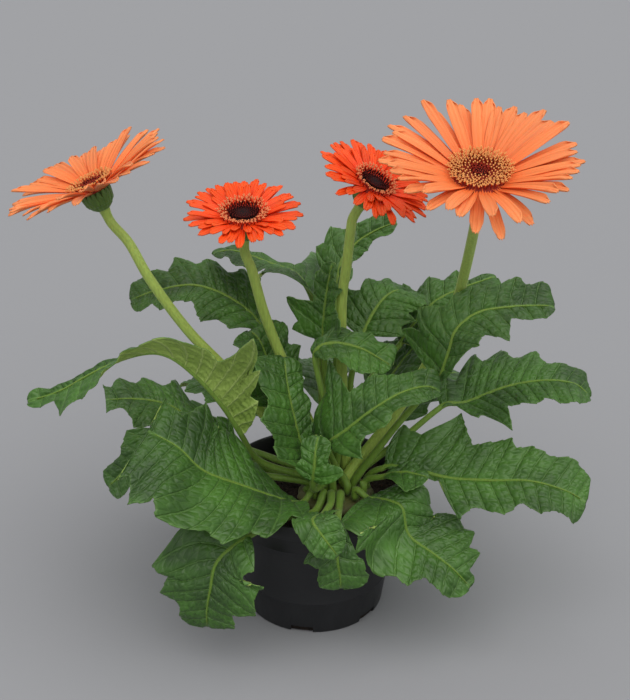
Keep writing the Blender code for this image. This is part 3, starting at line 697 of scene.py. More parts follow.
@dataclass
class Pot:
    """The thin-walled nursery pot: rounded rim band, stacking ribs, flat floor and drainage slots."""

    wall: float = 0.0012
    floor: float = 0.0015
    band_height: float = 0.012
    band_step: float = 0.0015
    slots: int = 6
    slot_width: float = 0.017
    slot_height: float = 0.006
    slot_depth: float = 0.0085
    slot_turn: float = 20.0
    ribs: tuple[float, ...] = (0.080, 0.030)    # heights of the stacking ribs
    rib_half: float = 0.0012
    rib_stand: float = 0.0004
    sharp: float = 40.0         # degrees past which an edge is not smoothed
    steps: int = 144

    def outer(self, height: float) -> float:
        """The wall's outer radius at a height."""
        return POT_BASE_RADIUS + (POT_RIM_RADIUS - self.band_step - POT_BASE_RADIUS) * height / POT_HEIGHT

    def profile(self) -> list[tuple[float, float]]:
        """Radius and height of the pot's section, from the floor's middle round to its underside.

        Returns:
            The points of the section.
        """
        top, band = POT_HEIGHT, POT_HEIGHT - self.band_height
        inner = self.outer(top) - self.wall
        line = [(0.0, self.floor), (self.outer(0.002) - self.wall - 0.002, self.floor)]
        line.append((self.outer(0.004) - self.wall, self.floor + 0.0025))
        line += [(self.outer(z) - self.wall, z) for z in (0.03, 0.06, 0.09)]
        line += [(inner, top - 0.0012), (inner + 0.0005, top - 0.0003), (inner + 0.0011, top)]
        line += [(POT_RIM_RADIUS - 0.0006, top), (POT_RIM_RADIUS - 0.0001, top - 0.0004)]
        line += [(POT_RIM_RADIUS, top - 0.0012), (POT_RIM_RADIUS - 0.0007, band + 0.0006)]
        line += [(POT_RIM_RADIUS - 0.0010, band + 0.0001), (self.outer(band), band - 0.0003)]
        for rib in self.ribs:
            above, below = rib + self.rib_half, rib - self.rib_half
            crest = self.outer(rib) + self.rib_stand
            line += [(self.outer(above), above), (crest, rib + 0.5 * self.rib_half)]
            line += [(crest, rib - 0.5 * self.rib_half), (self.outer(below), below)]
        line += [(self.outer(0.0016), 0.0016), (self.outer(0.0) - 0.0004, 0.0004)]
        line += [(self.outer(0.0) - 0.0014, 0.0), (0.0, 0.0)]
        return line

    def build(self) -> None:
        """Makes the pot and cuts its slots."""
        line = self.profile()
        turns = np.linspace(0, math.tau, self.steps, endpoint=False)
        shape = bmesh.new()
        rows = []
        for radius, height in line:
            spots = [(0.0, 0.0, height)] if radius == 0 else [
                (radius * math.cos(t), radius * math.sin(t), height) for t in turns
            ]
            rows.append([shape.verts.new(spot) for spot in spots])
        for row, after in zip(rows, rows[1:]):
            for i in range(self.steps):
                j = (i + 1) % self.steps
                spots = [row[i % len(row)], row[j % len(row)], after[j % len(after)], after[i % len(after)]]
                shape.faces.new(list(dict.fromkeys(spots)))
        bmesh.ops.recalc_face_normals(shape, faces=shape.faces[:])
        mesh = bpy.data.meshes.new("pot_shell")
        shape.to_mesh(mesh)
        shape.free()
        mesh.materials.append(PotPlastic().make())
        mesh.shade_smooth()
        mesh.set_sharp_from_angle(angle=math.radians(self.sharp))
        pot = bpy.data.objects.new("pot_shell", mesh)
        bpy.context.scene.collection.objects.link(pot)
        cutter = self.cutter()
        cut = pot.modifiers.new("Slots", "BOOLEAN")
        cut.operation, cut.solver, cut.object = "DIFFERENCE", "EXACT", cutter
        graph = bpy.context.evaluated_depsgraph_get()
        final = bpy.data.meshes.new_from_object(pot.evaluated_get(graph))
        pot.modifiers.clear()
        pot.data = final
        final.name = "pot_shell"
        bpy.data.objects.remove(cutter, do_unlink=True)
        settle(pot, ("pot",))

    def cutter(self) -> bpy.types.Object:
        """Blocks with rounded ends, one for each slot.

        Returns:
            The blocks, as one object.
        """
        shape = bmesh.new()
        for index in range(self.slots):
            turn = math.radians(self.slot_turn) + math.tau * index / self.slots
            block = bmesh.ops.create_cube(shape, size=1)["verts"]
            size = Matrix.Diagonal((2 * self.slot_depth, self.slot_width, 2 * self.slot_height, 1))
            place = Matrix.Rotation(turn, 4, "Z") @ Matrix.Translation((POT_BASE_RADIUS, 0, 0)) @ size
            bmesh.ops.transform(shape, matrix=place, verts=block)
        uprights = [e for e in shape.edges if abs(e.verts[0].co.z + e.verts[1].co.z) > self.slot_height]
        bmesh.ops.bevel(shape, geom=uprights, offset=0.001, segments=3, affect="EDGES", profile=0.5)
        mesh = bpy.data.meshes.new("slot_blocks")
        shape.to_mesh(mesh)
        shape.free()
        item = bpy.data.objects.new("slot_blocks", mesh)
        bpy.context.scene.collection.objects.link(item)
        return item


@dataclass
class Ground:
    """The compost, with its crumbs and bark, and the crown that everything grows from."""

    rings: int = 46
    steps: int = 150
    lump: float = 0.0016
    bark: int = 150
    seed: int = 5

    def build(self) -> None:
        """Makes both pieces."""
        pot = Pot()
        finish = Compost().make()
        radius = pot.outer(COMPOST_TOP) - pot.wall - COMPOST_GAP
        low = pot.outer(0.004) - pot.wall - COMPOST_GAP
        shell = Shell()
        turns = np.linspace(0, math.tau, self.steps, endpoint=False)
        ring = np.concatenate([np.linspace(0.0006, 1, self.rings) * radius, [low, 0.0006]])
        flat = np.stack([np.outer(ring, np.cos(turns)), np.outer(ring, np.sin(turns))], -1)
        height = np.full(flat.shape[:2], COMPOST_TOP)
        spot = np.dstack([flat, height])
        rough = waves(spot, 0.022, 1) + 0.6 * waves(spot, 0.007, 2) + 0.35 * waves(spot, 0.0032, 3)
        height = height - self.lump * (1.1 - 0.8 * rough)
        height[-2:] = pot.floor + COMPOST_GAP
        shell.sheet(np.dstack([flat, height]), wrap=True, caps=True)
        rng = np.random.default_rng(self.seed)
        for _ in range(self.bark):
            away, turn = radius * 0.97 * math.sqrt(rng.random()), rng.uniform(0, math.tau)
            size = rng.uniform(0.0012, 0.0038)
            place = (away * math.cos(turn), away * math.sin(turn), COMPOST_TOP - 0.0012)
            self.chip(shell, rng, place, size)
        shell.piece("compost_surface", [finish], ("compost",))
        self.crown()

    @staticmethod
    def chip(shell: Shell, rng: np.random.Generator, place: tuple, size: float) -> None:
        """Adds a chip of bark.

        Args:
            shell: the piece it joins.
            rng: the source of its shape.
            place: its middle.
            size: its length.
        """
        turns = np.linspace(0, math.tau, 7, endpoint=False)
        rows = []
        for level, width in ((-0.22, 0.4), (-0.16, 0.9), (0.12, 1.0), (0.20, 0.5)):
            wobble = rng.uniform(0.75, 1.1, 7) * width * 0.5
            x, y = np.cos(turns) * wobble, 0.6 * np.sin(turns) * wobble
            rows.append(np.stack([x, y, np.full(7, level)], 1))
        tilt = Euler(rng.uniform((-0.5, -0.5, 0), (0.5, 0.5, math.tau))).to_matrix()
        points = np.array(rows) * size @ np.array(tilt).T + np.array(place)
        shell.sheet(points, wrap=True, caps=True)

    def crown(self) -> None:
        """Makes the lumpy, hairy rootstock."""
        shell = Shell()
        turns = np.linspace(0, math.tau, 90, endpoint=False)
        rise = np.linspace(0.02, math.pi / 2, 24)
        ring = CROWN_RADIUS * np.sin(rise)
        flat = np.stack([np.outer(ring, np.cos(turns)), np.outer(ring, np.sin(turns))], -1)
        height = np.outer(CROWN_HEIGHT * np.cos(rise), np.ones(90))
        dome = np.dstack([flat, height])
        swell = 1 + 0.05 * waves(dome, 0.011, 8)[..., None] * np.sin(rise)[:, None, None] ** 0.5
        dome = dome * swell + np.array((*CROWN_PLACE, COMPOST_TOP - 0.0004))
        dome[-1, :, 2] = COMPOST_TOP - 0.0012
        shell.sheet(dome, wrap=True, caps=True)
        finish = StalkSkin("rootstock_felt", "#4A4A24", "#6B6F3A", low_at=0.093, high_at=0.104).make()
        shell.piece("crown_rootstock", [finish], ("crown",))


def crown_point(azimuth: float, distance: float, radius: float) -> tuple[float, float, float]:
    """The root of a stalk or stem, just clear of the crown's dome.

    Args:
        azimuth: its direction from the crown's middle, in degrees.
        distance: how far out it is, in mm.
        radius: the stalk's radius.

    Returns:
        The middle of its end.
    """
    reach = distance * MM
    turn = math.radians(azimuth)
    nearest = max(reach - radius, 0.0)
    height = CROWN_HEIGHT * math.sqrt(1 - (nearest / CROWN_RADIUS) ** 2)
    x, y = CROWN_PLACE[0] + reach * math.cos(turn), CROWN_PLACE[1] + reach * math.sin(turn)
    return (x, y, COMPOST_TOP + COMPOST_GAP + height + 0.0017)


# ---- leaves ----


@dataclass
class Leaf:
    """One leaf: its route, tilt and lobes, and the build of its blade and stalk.

    root: direction in degrees and distance in mm from the crown's middle.
    route: points in mm; the blade starts at route[blade_at].
    roll: degrees that the left side is raised; fold: degrees that both halves are raised;
    both are spread evenly from the blade's start to its tip. curl: degrees down per 10 mm outward.
    left, right: lobe tips as (mm along the blade, mm out from the midrib).
    """

    name: str
    root: tuple[float, float]
    blade_at: int
    route: tuple
    roll: tuple
    fold: tuple
    curl: float
    left: tuple
    right: tuple
    sweep: float = 0.55
    notch: float = 0.84
    panel: float = 0.0105       # widest spacing of the side veins
    thickness: float = 0.00055
    quilt: float = 0.0012       # how far the blade swells between side veins
    wrinkle: float = 0.0006
    ruffle: float = 0.0014
    stalk_low: float = 0.0034
    stalk_high: float = 0.0023
    across_steps: int = 22
    row_step: float = 0.00095
    tooth: float = 0.0011       # how far the small teeth stand out
    tooth_pitch: tuple[float, float] = (0.0065, 0.0085)
    ruffle_pitch: float = 0.021
    waver: float = 0.0008       # how far the margin strays between them
    swell: float = 0.0011       # the slow rise and fall of the whole blade
    swell_size: float = 0.075
    groove: float = 0.0009      # how deep the midrib is sunk
    groove_width: float = 0.0021

    def __post_init__(self) -> None:
        """Works out the curve, its frame and the margins."""
        start = crown_point(*self.root, 0.0026)
        rising = (start[0], start[1], start[2] + 0.008)
        points = [start, rising] + [tuple(c * MM for c in point) for point in self.route]
        self.along, self.places, marks = smooth_route(points)
        self.blade_start = marks[self.blade_at + 2]
        self.length = self.along[-1] - self.blade_start
        self.tangent = unit(np.gradient(self.places, self.along, axis=0))
        heading = self.places[-1] - self.at(self.places, self.blade_start)
        level = unit(np.array([-heading[1], heading[0], 0.0]))
        self.across = unit(level - (self.tangent @ level)[:, None] * self.tangent)
        self.upward = np.cross(self.tangent, self.across)
        self.keys = {1: self.margin(self.left), -1: self.margin(self.right)}
        self.rng = np.random.default_rng(sum(ord(c) * i for i, c in enumerate(self.name, 3)))

    def at(self, rows: Grid, where: Grid) -> Grid:
        """The rows read at distances along the midrib."""
        return np.stack([np.interp(where, self.along, rows[:, i]) for i in range(3)], -1)

    def forward(self, origin: Grid) -> Grid:
        """How far forward a side vein runs for each metre outward."""
        tip = np.sqrt(np.clip(1 - (origin / self.length) ** 2, 0, 1))
        return self.sweep * tip * np.clip(origin / (0.15 * self.length), 0, 1)

    def margin(self, lobes: tuple) -> list[tuple[float, float, str]]:
        """Turns and lobe tips of one side, as (vein origin, width, kind).

        Args:
            lobes: its lobe tips, as in the table of leaves.

        Returns:
            The turns and tips, from the blade's start to its tip.
        """
        tips = []
        for along, out in lobes:
            guess = along * MM
            for _ in range(30):
                guess = 0.5 * guess + 0.5 * (along * MM - float(self.forward(guess)) * out * MM)
            tips.append((max(guess, 0.002), out * MM))
        keys = [(0.0, 0.0019, "notch")]
        for index, (place, width) in enumerate(tips):
            if index:
                before, narrow = tips[index - 1]
                keys.append((0.5 * (before + place), self.notch * min(narrow, width), "notch"))
            keys.append((place, width, "lobe"))
        keys.append((self.length, 0.0, "tip"))
        return keys

    def width(self, side: int, origin: Grid) -> Grid:
        """Half width of the blade on one side, with its small teeth.

        Args:
            side: 1 for the left, -1 for the right.
            origin: where the side veins leave the midrib.

        Returns:
            One width for each origin.
        """
        wide = np.zeros_like(origin)
        for (start, low, kind), (stop, high, after) in zip(self.keys[side], self.keys[side][1:]):
            here = (origin >= start) & (origin <= stop)
            share = (origin[here] - start) / max(stop - start, 1e-9)
            if after == "tip":
                wide[here] = low * np.sqrt(np.clip(1 - share**2, 0, 1))
            elif kind == "notch":
                wide[here] = low + (high - low) * share**0.85
            else:
                wide[here] = high + (low - high) * (1 - share) ** 1.1
        pitch = self.rng.uniform(*self.tooth_pitch)
        tooth = np.mod(origin / pitch + self.rng.random(), 1.0)
        teeth = (tooth**1.4 - 0.45) * np.clip(wide / 0.02, 0, 1)
        slow = np.sin(origin / self.rng.uniform(0.0055, 0.007) + self.rng.uniform(0, 6))
        strayed = self.waver * slow * np.clip(wide / 0.02, 0, 1)
        return np.maximum(wide + self.tooth * teeth + strayed, 0.0002)

    def surface(self, origin: Grid, out: Grid) -> tuple[Grid, Grid]:
        """Places and normals out along the side veins; out is more than 0 on the left.

        Args:
            origin: where the side veins leave the midrib.
            out: distances along them, more than 0 on the left.

        Returns:
            The places and the normals.
        """
        far = np.abs(out)
        along = origin + self.forward(origin) * far
        share = np.clip(along / self.length, 0, 1)
        roll = np.radians(np.interp(share, np.linspace(0, 1, len(self.roll)), self.roll))
        fold = np.radians(np.interp(share, np.linspace(0, 1, len(self.fold)), self.fold))
        bend = math.radians(self.curl) / 0.010 + 1e-6
        where = self.blade_start + np.minimum(along, self.length)
        beyond = np.maximum(along - self.length, 0)
        place = self.at(self.places, where) + self.at(self.tangent, where) * beyond[..., None]
        across, upward = self.at(self.across, where), self.at(self.upward, where)
        cosine, sine = np.cos(roll)[..., None], np.sin(roll)[..., None]
        left, normal = cosine * across + sine * upward, cosine * upward - sine * across
        ending = fold - bend * far
        side = (np.sin(fold) - np.sin(ending)) / bend * np.sign(out)
        rise = (np.cos(ending) - np.cos(fold)) / bend
        return place + left * side[..., None] + normal * rise[..., None], normal

    def phases(self, side: int, origin: Grid) -> Grid:
        """A count that is whole at each side vein of one side.

        Args:
            side: 1 for the left, -1 for the right.
            origin: where the side veins leave the midrib.

        Returns:
            One count for each origin.
        """
        places = [0.0]
        for start, _, kind in self.keys[side]:
            if kind != "notch" and start > places[-1] + 0.003:
                steps = max(round((start - places[-1]) / self.panel), 1)
                places += list(np.linspace(places[-1], start, steps + 1)[1:])
        return np.interp(origin, places, np.arange(len(places)))

    def relief(self, phase: Grid, out: Grid, share: Grid) -> Grid:
        """How far the blade stands out from its smooth surface.

        Args:
            phase: whole at each side vein.
            out: distance from the midrib.
            share: the same, from 0 at the midrib to 1 at the margin.

        Returns:
            Heights along the normal.
        """
        arch = np.abs(np.sin(math.pi * phase))
        panel = np.floor(phase).astype(int) % 64
        offsets = self.rng.uniform(0, math.tau, 64)
        pitch = self.rng.uniform(0.0038, 0.0056, 64)
        calm = ease(share, 0.0, 0.10) * (1 - 0.75 * ease(share, 0.8, 1.0))
        sway = 1.6 * np.sin(math.pi * phase)
        cross = np.sin(math.tau * np.abs(out) / pitch[panel] + offsets[panel] + sway)
        second = np.sin(math.tau * np.abs(out) / (1.9 * pitch[panel]) + 2 * offsets[panel])
        high = self.quilt * (arch**0.7 - 0.55) + self.wrinkle * arch * (cross + 0.6 * second)
        return high * calm - self.groove * np.exp(-((np.abs(out) / self.groove_width) ** 2))

    def blade(self, shell: Shell) -> None:
        """Adds the blade's upper surface.

        Args:
            shell: the piece it joins.
        """
        rows = max(int(self.length / self.row_step), 40)
        half = self.across_steps
        origin = np.linspace(0.0, self.length * 0.9985, rows)
        left, right = self.width(1, origin), self.width(-1, origin)
        share = np.linspace(1, -1, 2 * half + 1)
        share = np.sign(share) * np.abs(share) ** 0.92
        out = np.where(share > 0, left[:, None] * share, right[:, None] * share)
        starts = np.repeat(origin[:, None], out.shape[1], 1)
        place, _ = self.surface(starts, out)
        normal = unit(np.cross(np.gradient(place, axis=1), np.gradient(place, axis=0)))
        lift = self.upper_normals(normal, starts, out)
        left_phase = np.repeat(self.phases(1, origin)[:, None], out.shape[1], 1)
        right_phase = np.repeat(self.phases(-1, origin)[:, None], out.shape[1], 1)
        phase = np.where(share >= 0, left_phase, right_phase)
        far = np.abs(np.broadcast_to(share, out.shape))
        height = self.relief(phase, out, far)
        turned = math.tau * starts / self.ruffle_pitch + self.rng.uniform(0, 6)
        wave = np.sin(turned + np.where(share > 0, 0.0, 2.2))
        height = height + self.ruffle * wave * far**3 * np.clip(np.abs(out) / 0.015, 0, 1)
        slow = waves(place, self.swell_size, int(self.rng.integers(1000)))
        height = height + self.swell * slow * np.clip(np.abs(out) / 0.012, 0, 1)
        place = place + lift * height[..., None]
        span = np.stack([starts / self.length, np.broadcast_to(share, out.shape)], -1)
        shell.sheet(
            place,
            {"veins": np.stack([left_phase, out * 100], -1), "blade": span},
            right={"veins": np.stack([right_phase + 40, out * 100], -1), "blade": span},
        )

    def upper_normals(self, normal: Grid, starts: Grid, out: Grid) -> Grid:
        """The normals, all turned to the blade's upper side.

        Args:
            normal: the normals, either way up.
            starts: where each place's side vein leaves the midrib.
            out: each place's distance from the midrib.

        Returns:
            The normals, turned.
        """
        _, upper = self.surface(starts, out)
        facing = np.sign((normal * upper).sum(-1, keepdims=True))
        return normal * np.where(facing == 0, 1, facing)

    def stalk(self, shell: Shell) -> None:
        """Adds the stalk, which runs on under the blade as the midrib.

        Args:
            shell: the piece it joins.
        """
        lower = np.linspace(0, self.blade_start, max(int(self.blade_start / 0.003), 8), endpoint=False)
        share = lower / self.blade_start
        thick = self.stalk_low + (self.stalk_high - self.stalk_low) * share**0.7
        rib = np.linspace(0.0, self.length * 0.96, max(int(self.length / 0.003), 10))
        thin = 0.0004 + (self.stalk_high - 0.0004) * (1 - rib / self.length) ** 1.25
        place, normal = self.surface(rib, np.zeros_like(rib))
        rib_path = place - normal * (thin * 0.85)[:, None]
        ahead = self.at(self.places, lower)
        drop = self.at(self.upward, lower) * (0.85 * self.stalk_high * ease(share, 0.5, 1.0))[:, None]
        path = np.vstack([ahead - drop, rib_path])
        across = np.vstack([self.at(self.across, lower), self.at(self.across, self.blade_start + rib)])
        radius = np.concatenate([thick, thin])
        shell.sheet(tube_rings(path, across, radius, radius * 0.9, 14), wrap=True, caps=True)

    def build(self, finishes: dict[str, bpy.types.Material]) -> None:
        """Makes the leaf's blade and stalk.

        Args:
            finishes: the shared materials, by name.
        """
        shell = Shell()
        self.blade(shell)
        blade = shell.piece(
            f"{self.name}_blade", [finishes["upper"], finishes["under"]], (self.name,)
        )
        thick = blade.modifiers.new("Thickness", "SOLIDIFY")
        thick.thickness, thick.offset = self.thickness, -1.0
        thick.material_offset, thick.material_offset_rim = 1, 0
        shell = Shell()
        self.stalk(shell)
        shell.piece(f"{self.name}_stalk", [finishes["stalk"]])


LEAVES = (
    Leaf("leaf_front_left", (228, 23.5), 0,
         ((-9, -34, 106), (-24, -44, 115), (-49, -56, 133),
          (-76, -65, 151), (-93, -64, 169), (-114, -60, 180)),
         (24, -18, -38, -42), (6, 8, 4), 2,
         ((18, 31), (44, 46), (72, 54), (98, 54), (124, 54), (144, 44)),
         ((14, 22), (34, 30), (62, 42), (112, 40), (136, 26))),
    Leaf("leaf_low_front_left", (248, 23.5), 2,
         ((0, -42, 101), (-24.4, -63.5, 110), (-45.5, -78.8, 107),
          (-67.4, -89.4, 92), (-72.8, -96.6, 72), (-75.7, -96.9, 54), (-76.1, -94, 37)),
         (-15, -45, -50), (6, 6, 0), 3,
         ((12, 26), (38, 40), (62, 36), (80, 20)),
         ((14, 40), (42, 46), (66, 36), (82, 20)), notch=0.9),
    Leaf("leaf_lower_left", (200, 23.5), 1,
         ((-62, -10, 117), (-89, -25, 145), (-113, -38, 153), (-130, -45, 143), (-147, -48, 126)),
         (-40, -40, -25), (6, 6, 4), 3,
         ((4, 40), (52, 29), (69, 14)),
         ((18, 15), (39, 22), (69, 12))),
    Leaf("leaf_arched_left", (212, 16.5), 1,
         ((-38, -12, 125), (-51, -25, 158), (-64, -37, 189), (-81, -45, 216),
          (-99, -47, 232), (-118, -45, 232), (-147, -38, 217), (-178, -32, 196), (-203, -28, 185)),
         (45, 50, 30, -20, -35), (35, 30, 15, 5, 5), 1,
         ((28, 24), (52, 41), (76, 68), (93, 28), (158, 19), (183, 24), (200, 8)),
         ((95, 3), (144, 6), (183, 5), (202, 8))),
    Leaf("leaf_shaded_left", (184, 16.5), 1,
         ((-48, 16, 119), (-78, 15, 137), (-107, 14, 159), (-132, 11, 166), (-153, 7, 167)),
         (-10, -15, -10), (5, 5, 0), 3,
         ((8, 22), (26, 34), (42, 31), (64, 31), (87, 14)),
         ((8, 22), (36, 31), (56, 22), (72, 25), (87, 18))),
    Leaf("leaf_inner_left", (174, 23.5), 1,
         ((-33, 4, 108), (-59, -1, 129), (-79, -7, 152), (-99, -11, 157), (-112, -13, 155)),
         (-30, -30, -20), (5, 5, 0), 3,
         ((14, 20), (34, 25), (60, 12)),
         ((14, 20), (43, 13), (64, 12))),
    Leaf("leaf_back_left", (128, 9.5), 1,
         ((-18, 28, 164), (-37, 52, 202), (-59, 62, 222),
          (-89, 66, 233), (-119, 64, 229), (-138, 60, 223)),
         (-15, -20, -20), (8, 6, 4), 2,
         ((19, 33), (50, 40), (93, 22), (112, 18)),
         ((38, 34), (60, 27), (78, 30), (96, 21))),
    Leaf("leaf_back_middle", (116, 16.5), 1,
         ((4, 30, 188), (3, 55, 217), (-11, 75, 237), (-33, 85, 243), (-60, 85, 253), (-77, 82, 252)),
         (20, 10, 0), (10, 8, 4), 2,
         ((63, 57), (69, 29)),
         ((43, 59), (65, 10), (82, 8))),
    Leaf("leaf_back_tall", (86, 16.5), 1,
         ((16, 30, 196), (16, 60, 223), (20, 80, 245), (31, 88, 257), (46, 90, 267), (62, 90, 274)),
         (0, 20, 10), (10, 10, 5), 2,
         ((20, 19), (35, 26), (44, 23), (68, 14)),
         ((15, 17), (54, 14), (73, 10))),
    Leaf("leaf_young_upright", (82, 9.5), 1,
         ((8, 22, 175), (6, 28, 205), (8, 32, 236), (13, 34, 265)),
         (0, 0, 0), (25, 20, 10), 0,
         ((4, 26), (25, 34), (43, 11)),
         ((21, 38), (47, 18), (59, 6))),
    Leaf("leaf_back_curled", (57, 16.5), 1,
         ((27, 25, 174), (36, 45, 201), (48, 60, 219), (61, 71, 226), (75, 80, 220)),
         (15, 15, 0), (8, 8, 4), 4,
         ((10, 24), (27, 32), (40, 24), (54, 18)),
         ((10, 30), (30, 34), (46, 30))),
    Leaf("leaf_back_right", (29, 16.5), 1,
         ((38, 25, 165), (65, 50, 194), (88, 65, 217), (110, 72, 227), (138, 78, 235)),
         (15, 15, 10), (8, 8, 4), 3,
         ((34, 31), (47, 21), (66, 16), (80, 6)),
         ((4, 30), (49, 43), (84, 27))),
    Leaf("leaf_upper_right", (335, 16.5), 1,
         ((71, -14, 174), (87, -16, 195), (94, -16, 218), (99, -13, 234),
          (115, -7, 245), (138, -2, 247), (159, 0, 247), (170, 0, 246)),
         (20, 35, 20), (10, 10, 5), 1,
         ((19, 45), (41, 33), (65, 20), (93, 23), (109, 22)),
         ((43, 23), (76, 31), (100, 14))),
    Leaf("leaf_middle_right", (3, 16.5), 1,
         ((64, 0, 137), (93, 8, 162), (112, 12, 163),
          (141, 15, 174), (169, 12, 181), (191, 8, 180), (203, 5, 170)),
         (15, 15, 10), (8, 8, 4), 3,
         ((10, 26), (38, 42), (54, 39), (75, 30), (102, 19)),
         ((11, 4), (23, 26), (45, 47), (69, 26), (93, 26))),
    Leaf("leaf_lower_right", (352, 23.5), 0,
         ((52, -15, 124), (74, -22, 125), (99, -30, 123),
          (127, -38, 126), (154, -45, 130), (179, -50, 125), (195, -52, 116)),
         (40, 40, 25), (8, 8, 2), 2,
         ((8, 31), (50, 51), (93, 31), (106, 28), (133, 26)),
         ((39, 5), (59, 30), (90, 26), (119, 23), (145, 21))),
    Leaf("leaf_centre_dark", (300, 16.5), 1,
         ((19, -14, 118), (10, -25, 139), (11, -31, 154), (21, -37, 166),
          (39, -40, 184), (59, -38, 197), (78, -31, 199), (90, -28, 193)),
         (30, 40, 30), (8, 8, 4), 2,
         ((50, 53), (75, 23), (107, 14)),
         ((4, 3), (40, 28), (66, 18), (86, 14))),
    Leaf("leaf_centre_top", (0, 0), 2,
         ((17, -4, 139), (6, -1, 175), (-1, 0, 207), (11, -1, 218), (33, -5, 216), (56, -10, 204)),
         (35, 30, 20), (5, 5, 0), 4,
         ((9, 8), (21, 13), (44, 14), (58, 17)),
         ((12, 15), (39, 20))),
    Leaf("leaf_front_right", (308, 23.5), 0,
         ((40, -30, 107), (53.6, -41.9, 112), (63.8, -49.9, 110),
          (68.4, -55.4, 91), (84.3, -65.9, 83), (99, -74.6, 75), (112.2, -78.6, 61)),
         (-4, 24, 15), (8, 6, 0), 3,
         ((31, 26), (73, 35), (90, 35), (102, 24), (109, 9)),
         ((10, 45), (49, 47), (56, 40), (76, 33), (96, 20)), notch=0.94),
    Leaf("leaf_front_hanging", (278, 23.5), 1,
         ((18, -45, 105), (16.9, -67.9, 112), (16.4, -84.4, 92), (18.3, -86.1, 78), (19.3, -83.8, 63)),
         (0, 0, 0), (5, 0, 0), 4,
         ((35, 19), (49, 21)),
         ((29, 24), (42, 16)), notch=0.9),
    Leaf("leaf_young_right", (331, 23.5), 1,
         ((38, -15, 111), (51.5, -21.9, 121), (65.8, -29.3, 128), (82.2, -36.6, 128)),
         (10, 10, 0), (5, 5, 0), 2,
         ((17, 11),),
         ((25, 21),)),
    Leaf("leaf_centre_left", (262, 16.5), 0,
         ((11, -24, 125), (-6, -22, 140), (-14, -17, 168), (-19, -9, 192), (-21, 3, 205)),
         (0, 0, 0), (10, 10, 0), 2,
         ((10, 15), (34, 32), (60, 34), (88, 28)),
         ((12, 13), (34, 15), (60, 16), (86, 15))),
    Leaf("leaf_small_front", (240, 16.5), 1,
         ((0, -34, 115), (-1, -42, 127), (0, -42, 139), (1, -38, 150), (3, -31, 159)),
         (0, 0, 0), (8, 6, 4), 3,
         ((10, 14), (26, 11)),
         ((12, 22), (25, 12))),
    Leaf("leaf_small_hanging", (262, 23.5), 1,
         ((12, -43, 109), (6, -60, 113), (-1, -84, 123), (7, -93, 114), (17, -96, 100)),
         (0, 0, 0), (6, 4, 0), 4,
         ((10, 16), (30, 17)),
         ((10, 15), (30, 15))),
    Leaf("leaf_inner_right", (63, 23.5), 1,
         ((36, 24, 125), (48, 36, 151), (64, 50, 173), (82, 62, 189), (98, 70, 195)),
         (0, 0, 0), (8, 8, 4), 3,
         ((14, 26), (36, 34), (62, 24)),
         ((14, 28), (38, 36), (64, 26))),
    Leaf("leaf_inner_back", (152, 16.5), 1,
         ((-10, 10, 131), (-21, 14, 163), (-32, 18, 190), (-39, 22, 208), (-47, 28, 214)),
         (-10, -10, 0), (8, 8, 4), 2,
         ((23, 42), (51, 25)),
         ((29, 33), (50, 31))),
    Leaf("leaf_rear_right", (38, 23.5), 1,
         ((38, 16, 117), (60, 45, 127), (85, 80, 139), (110, 110, 135), (128, 130, 120)),
         (10, 10, 0), (8, 8, 4), 3,
         ((25, 22), (50, 30), (78, 28), (105, 18)),
         ((20, 20), (48, 30), (80, 28), (105, 18))),
    Leaf("leaf_rear_middle", (88, 23.5), 1,
         ((14, 30, 117), (12, 60, 129), (8, 95, 141), (2, 130, 137), (-4, 155, 121)),
         (0, 0, 0), (8, 8, 4), 3,
         ((25, 20), (52, 28), (80, 30), (105, 18)),
         ((22, 22), (50, 28), (78, 30), (104, 16))),
    Leaf("leaf_rear_left", (146, 23.5), 1,
         ((-8, 20, 117), (-30, 50, 127), (-60, 80, 139), (-88, 105, 135), (-105, 120, 119)),
         (-10, -10, 0), (8, 8, 4), 3,
         ((25, 20), (48, 30), (75, 30), (100, 18)),
         ((22, 22), (50, 30), (75, 28), (100, 18))),
)


# ---- flowers ----


class Age(Enum):
    """How far a flower has opened."""

    YOUNG = "young"
    OPEN = "open"


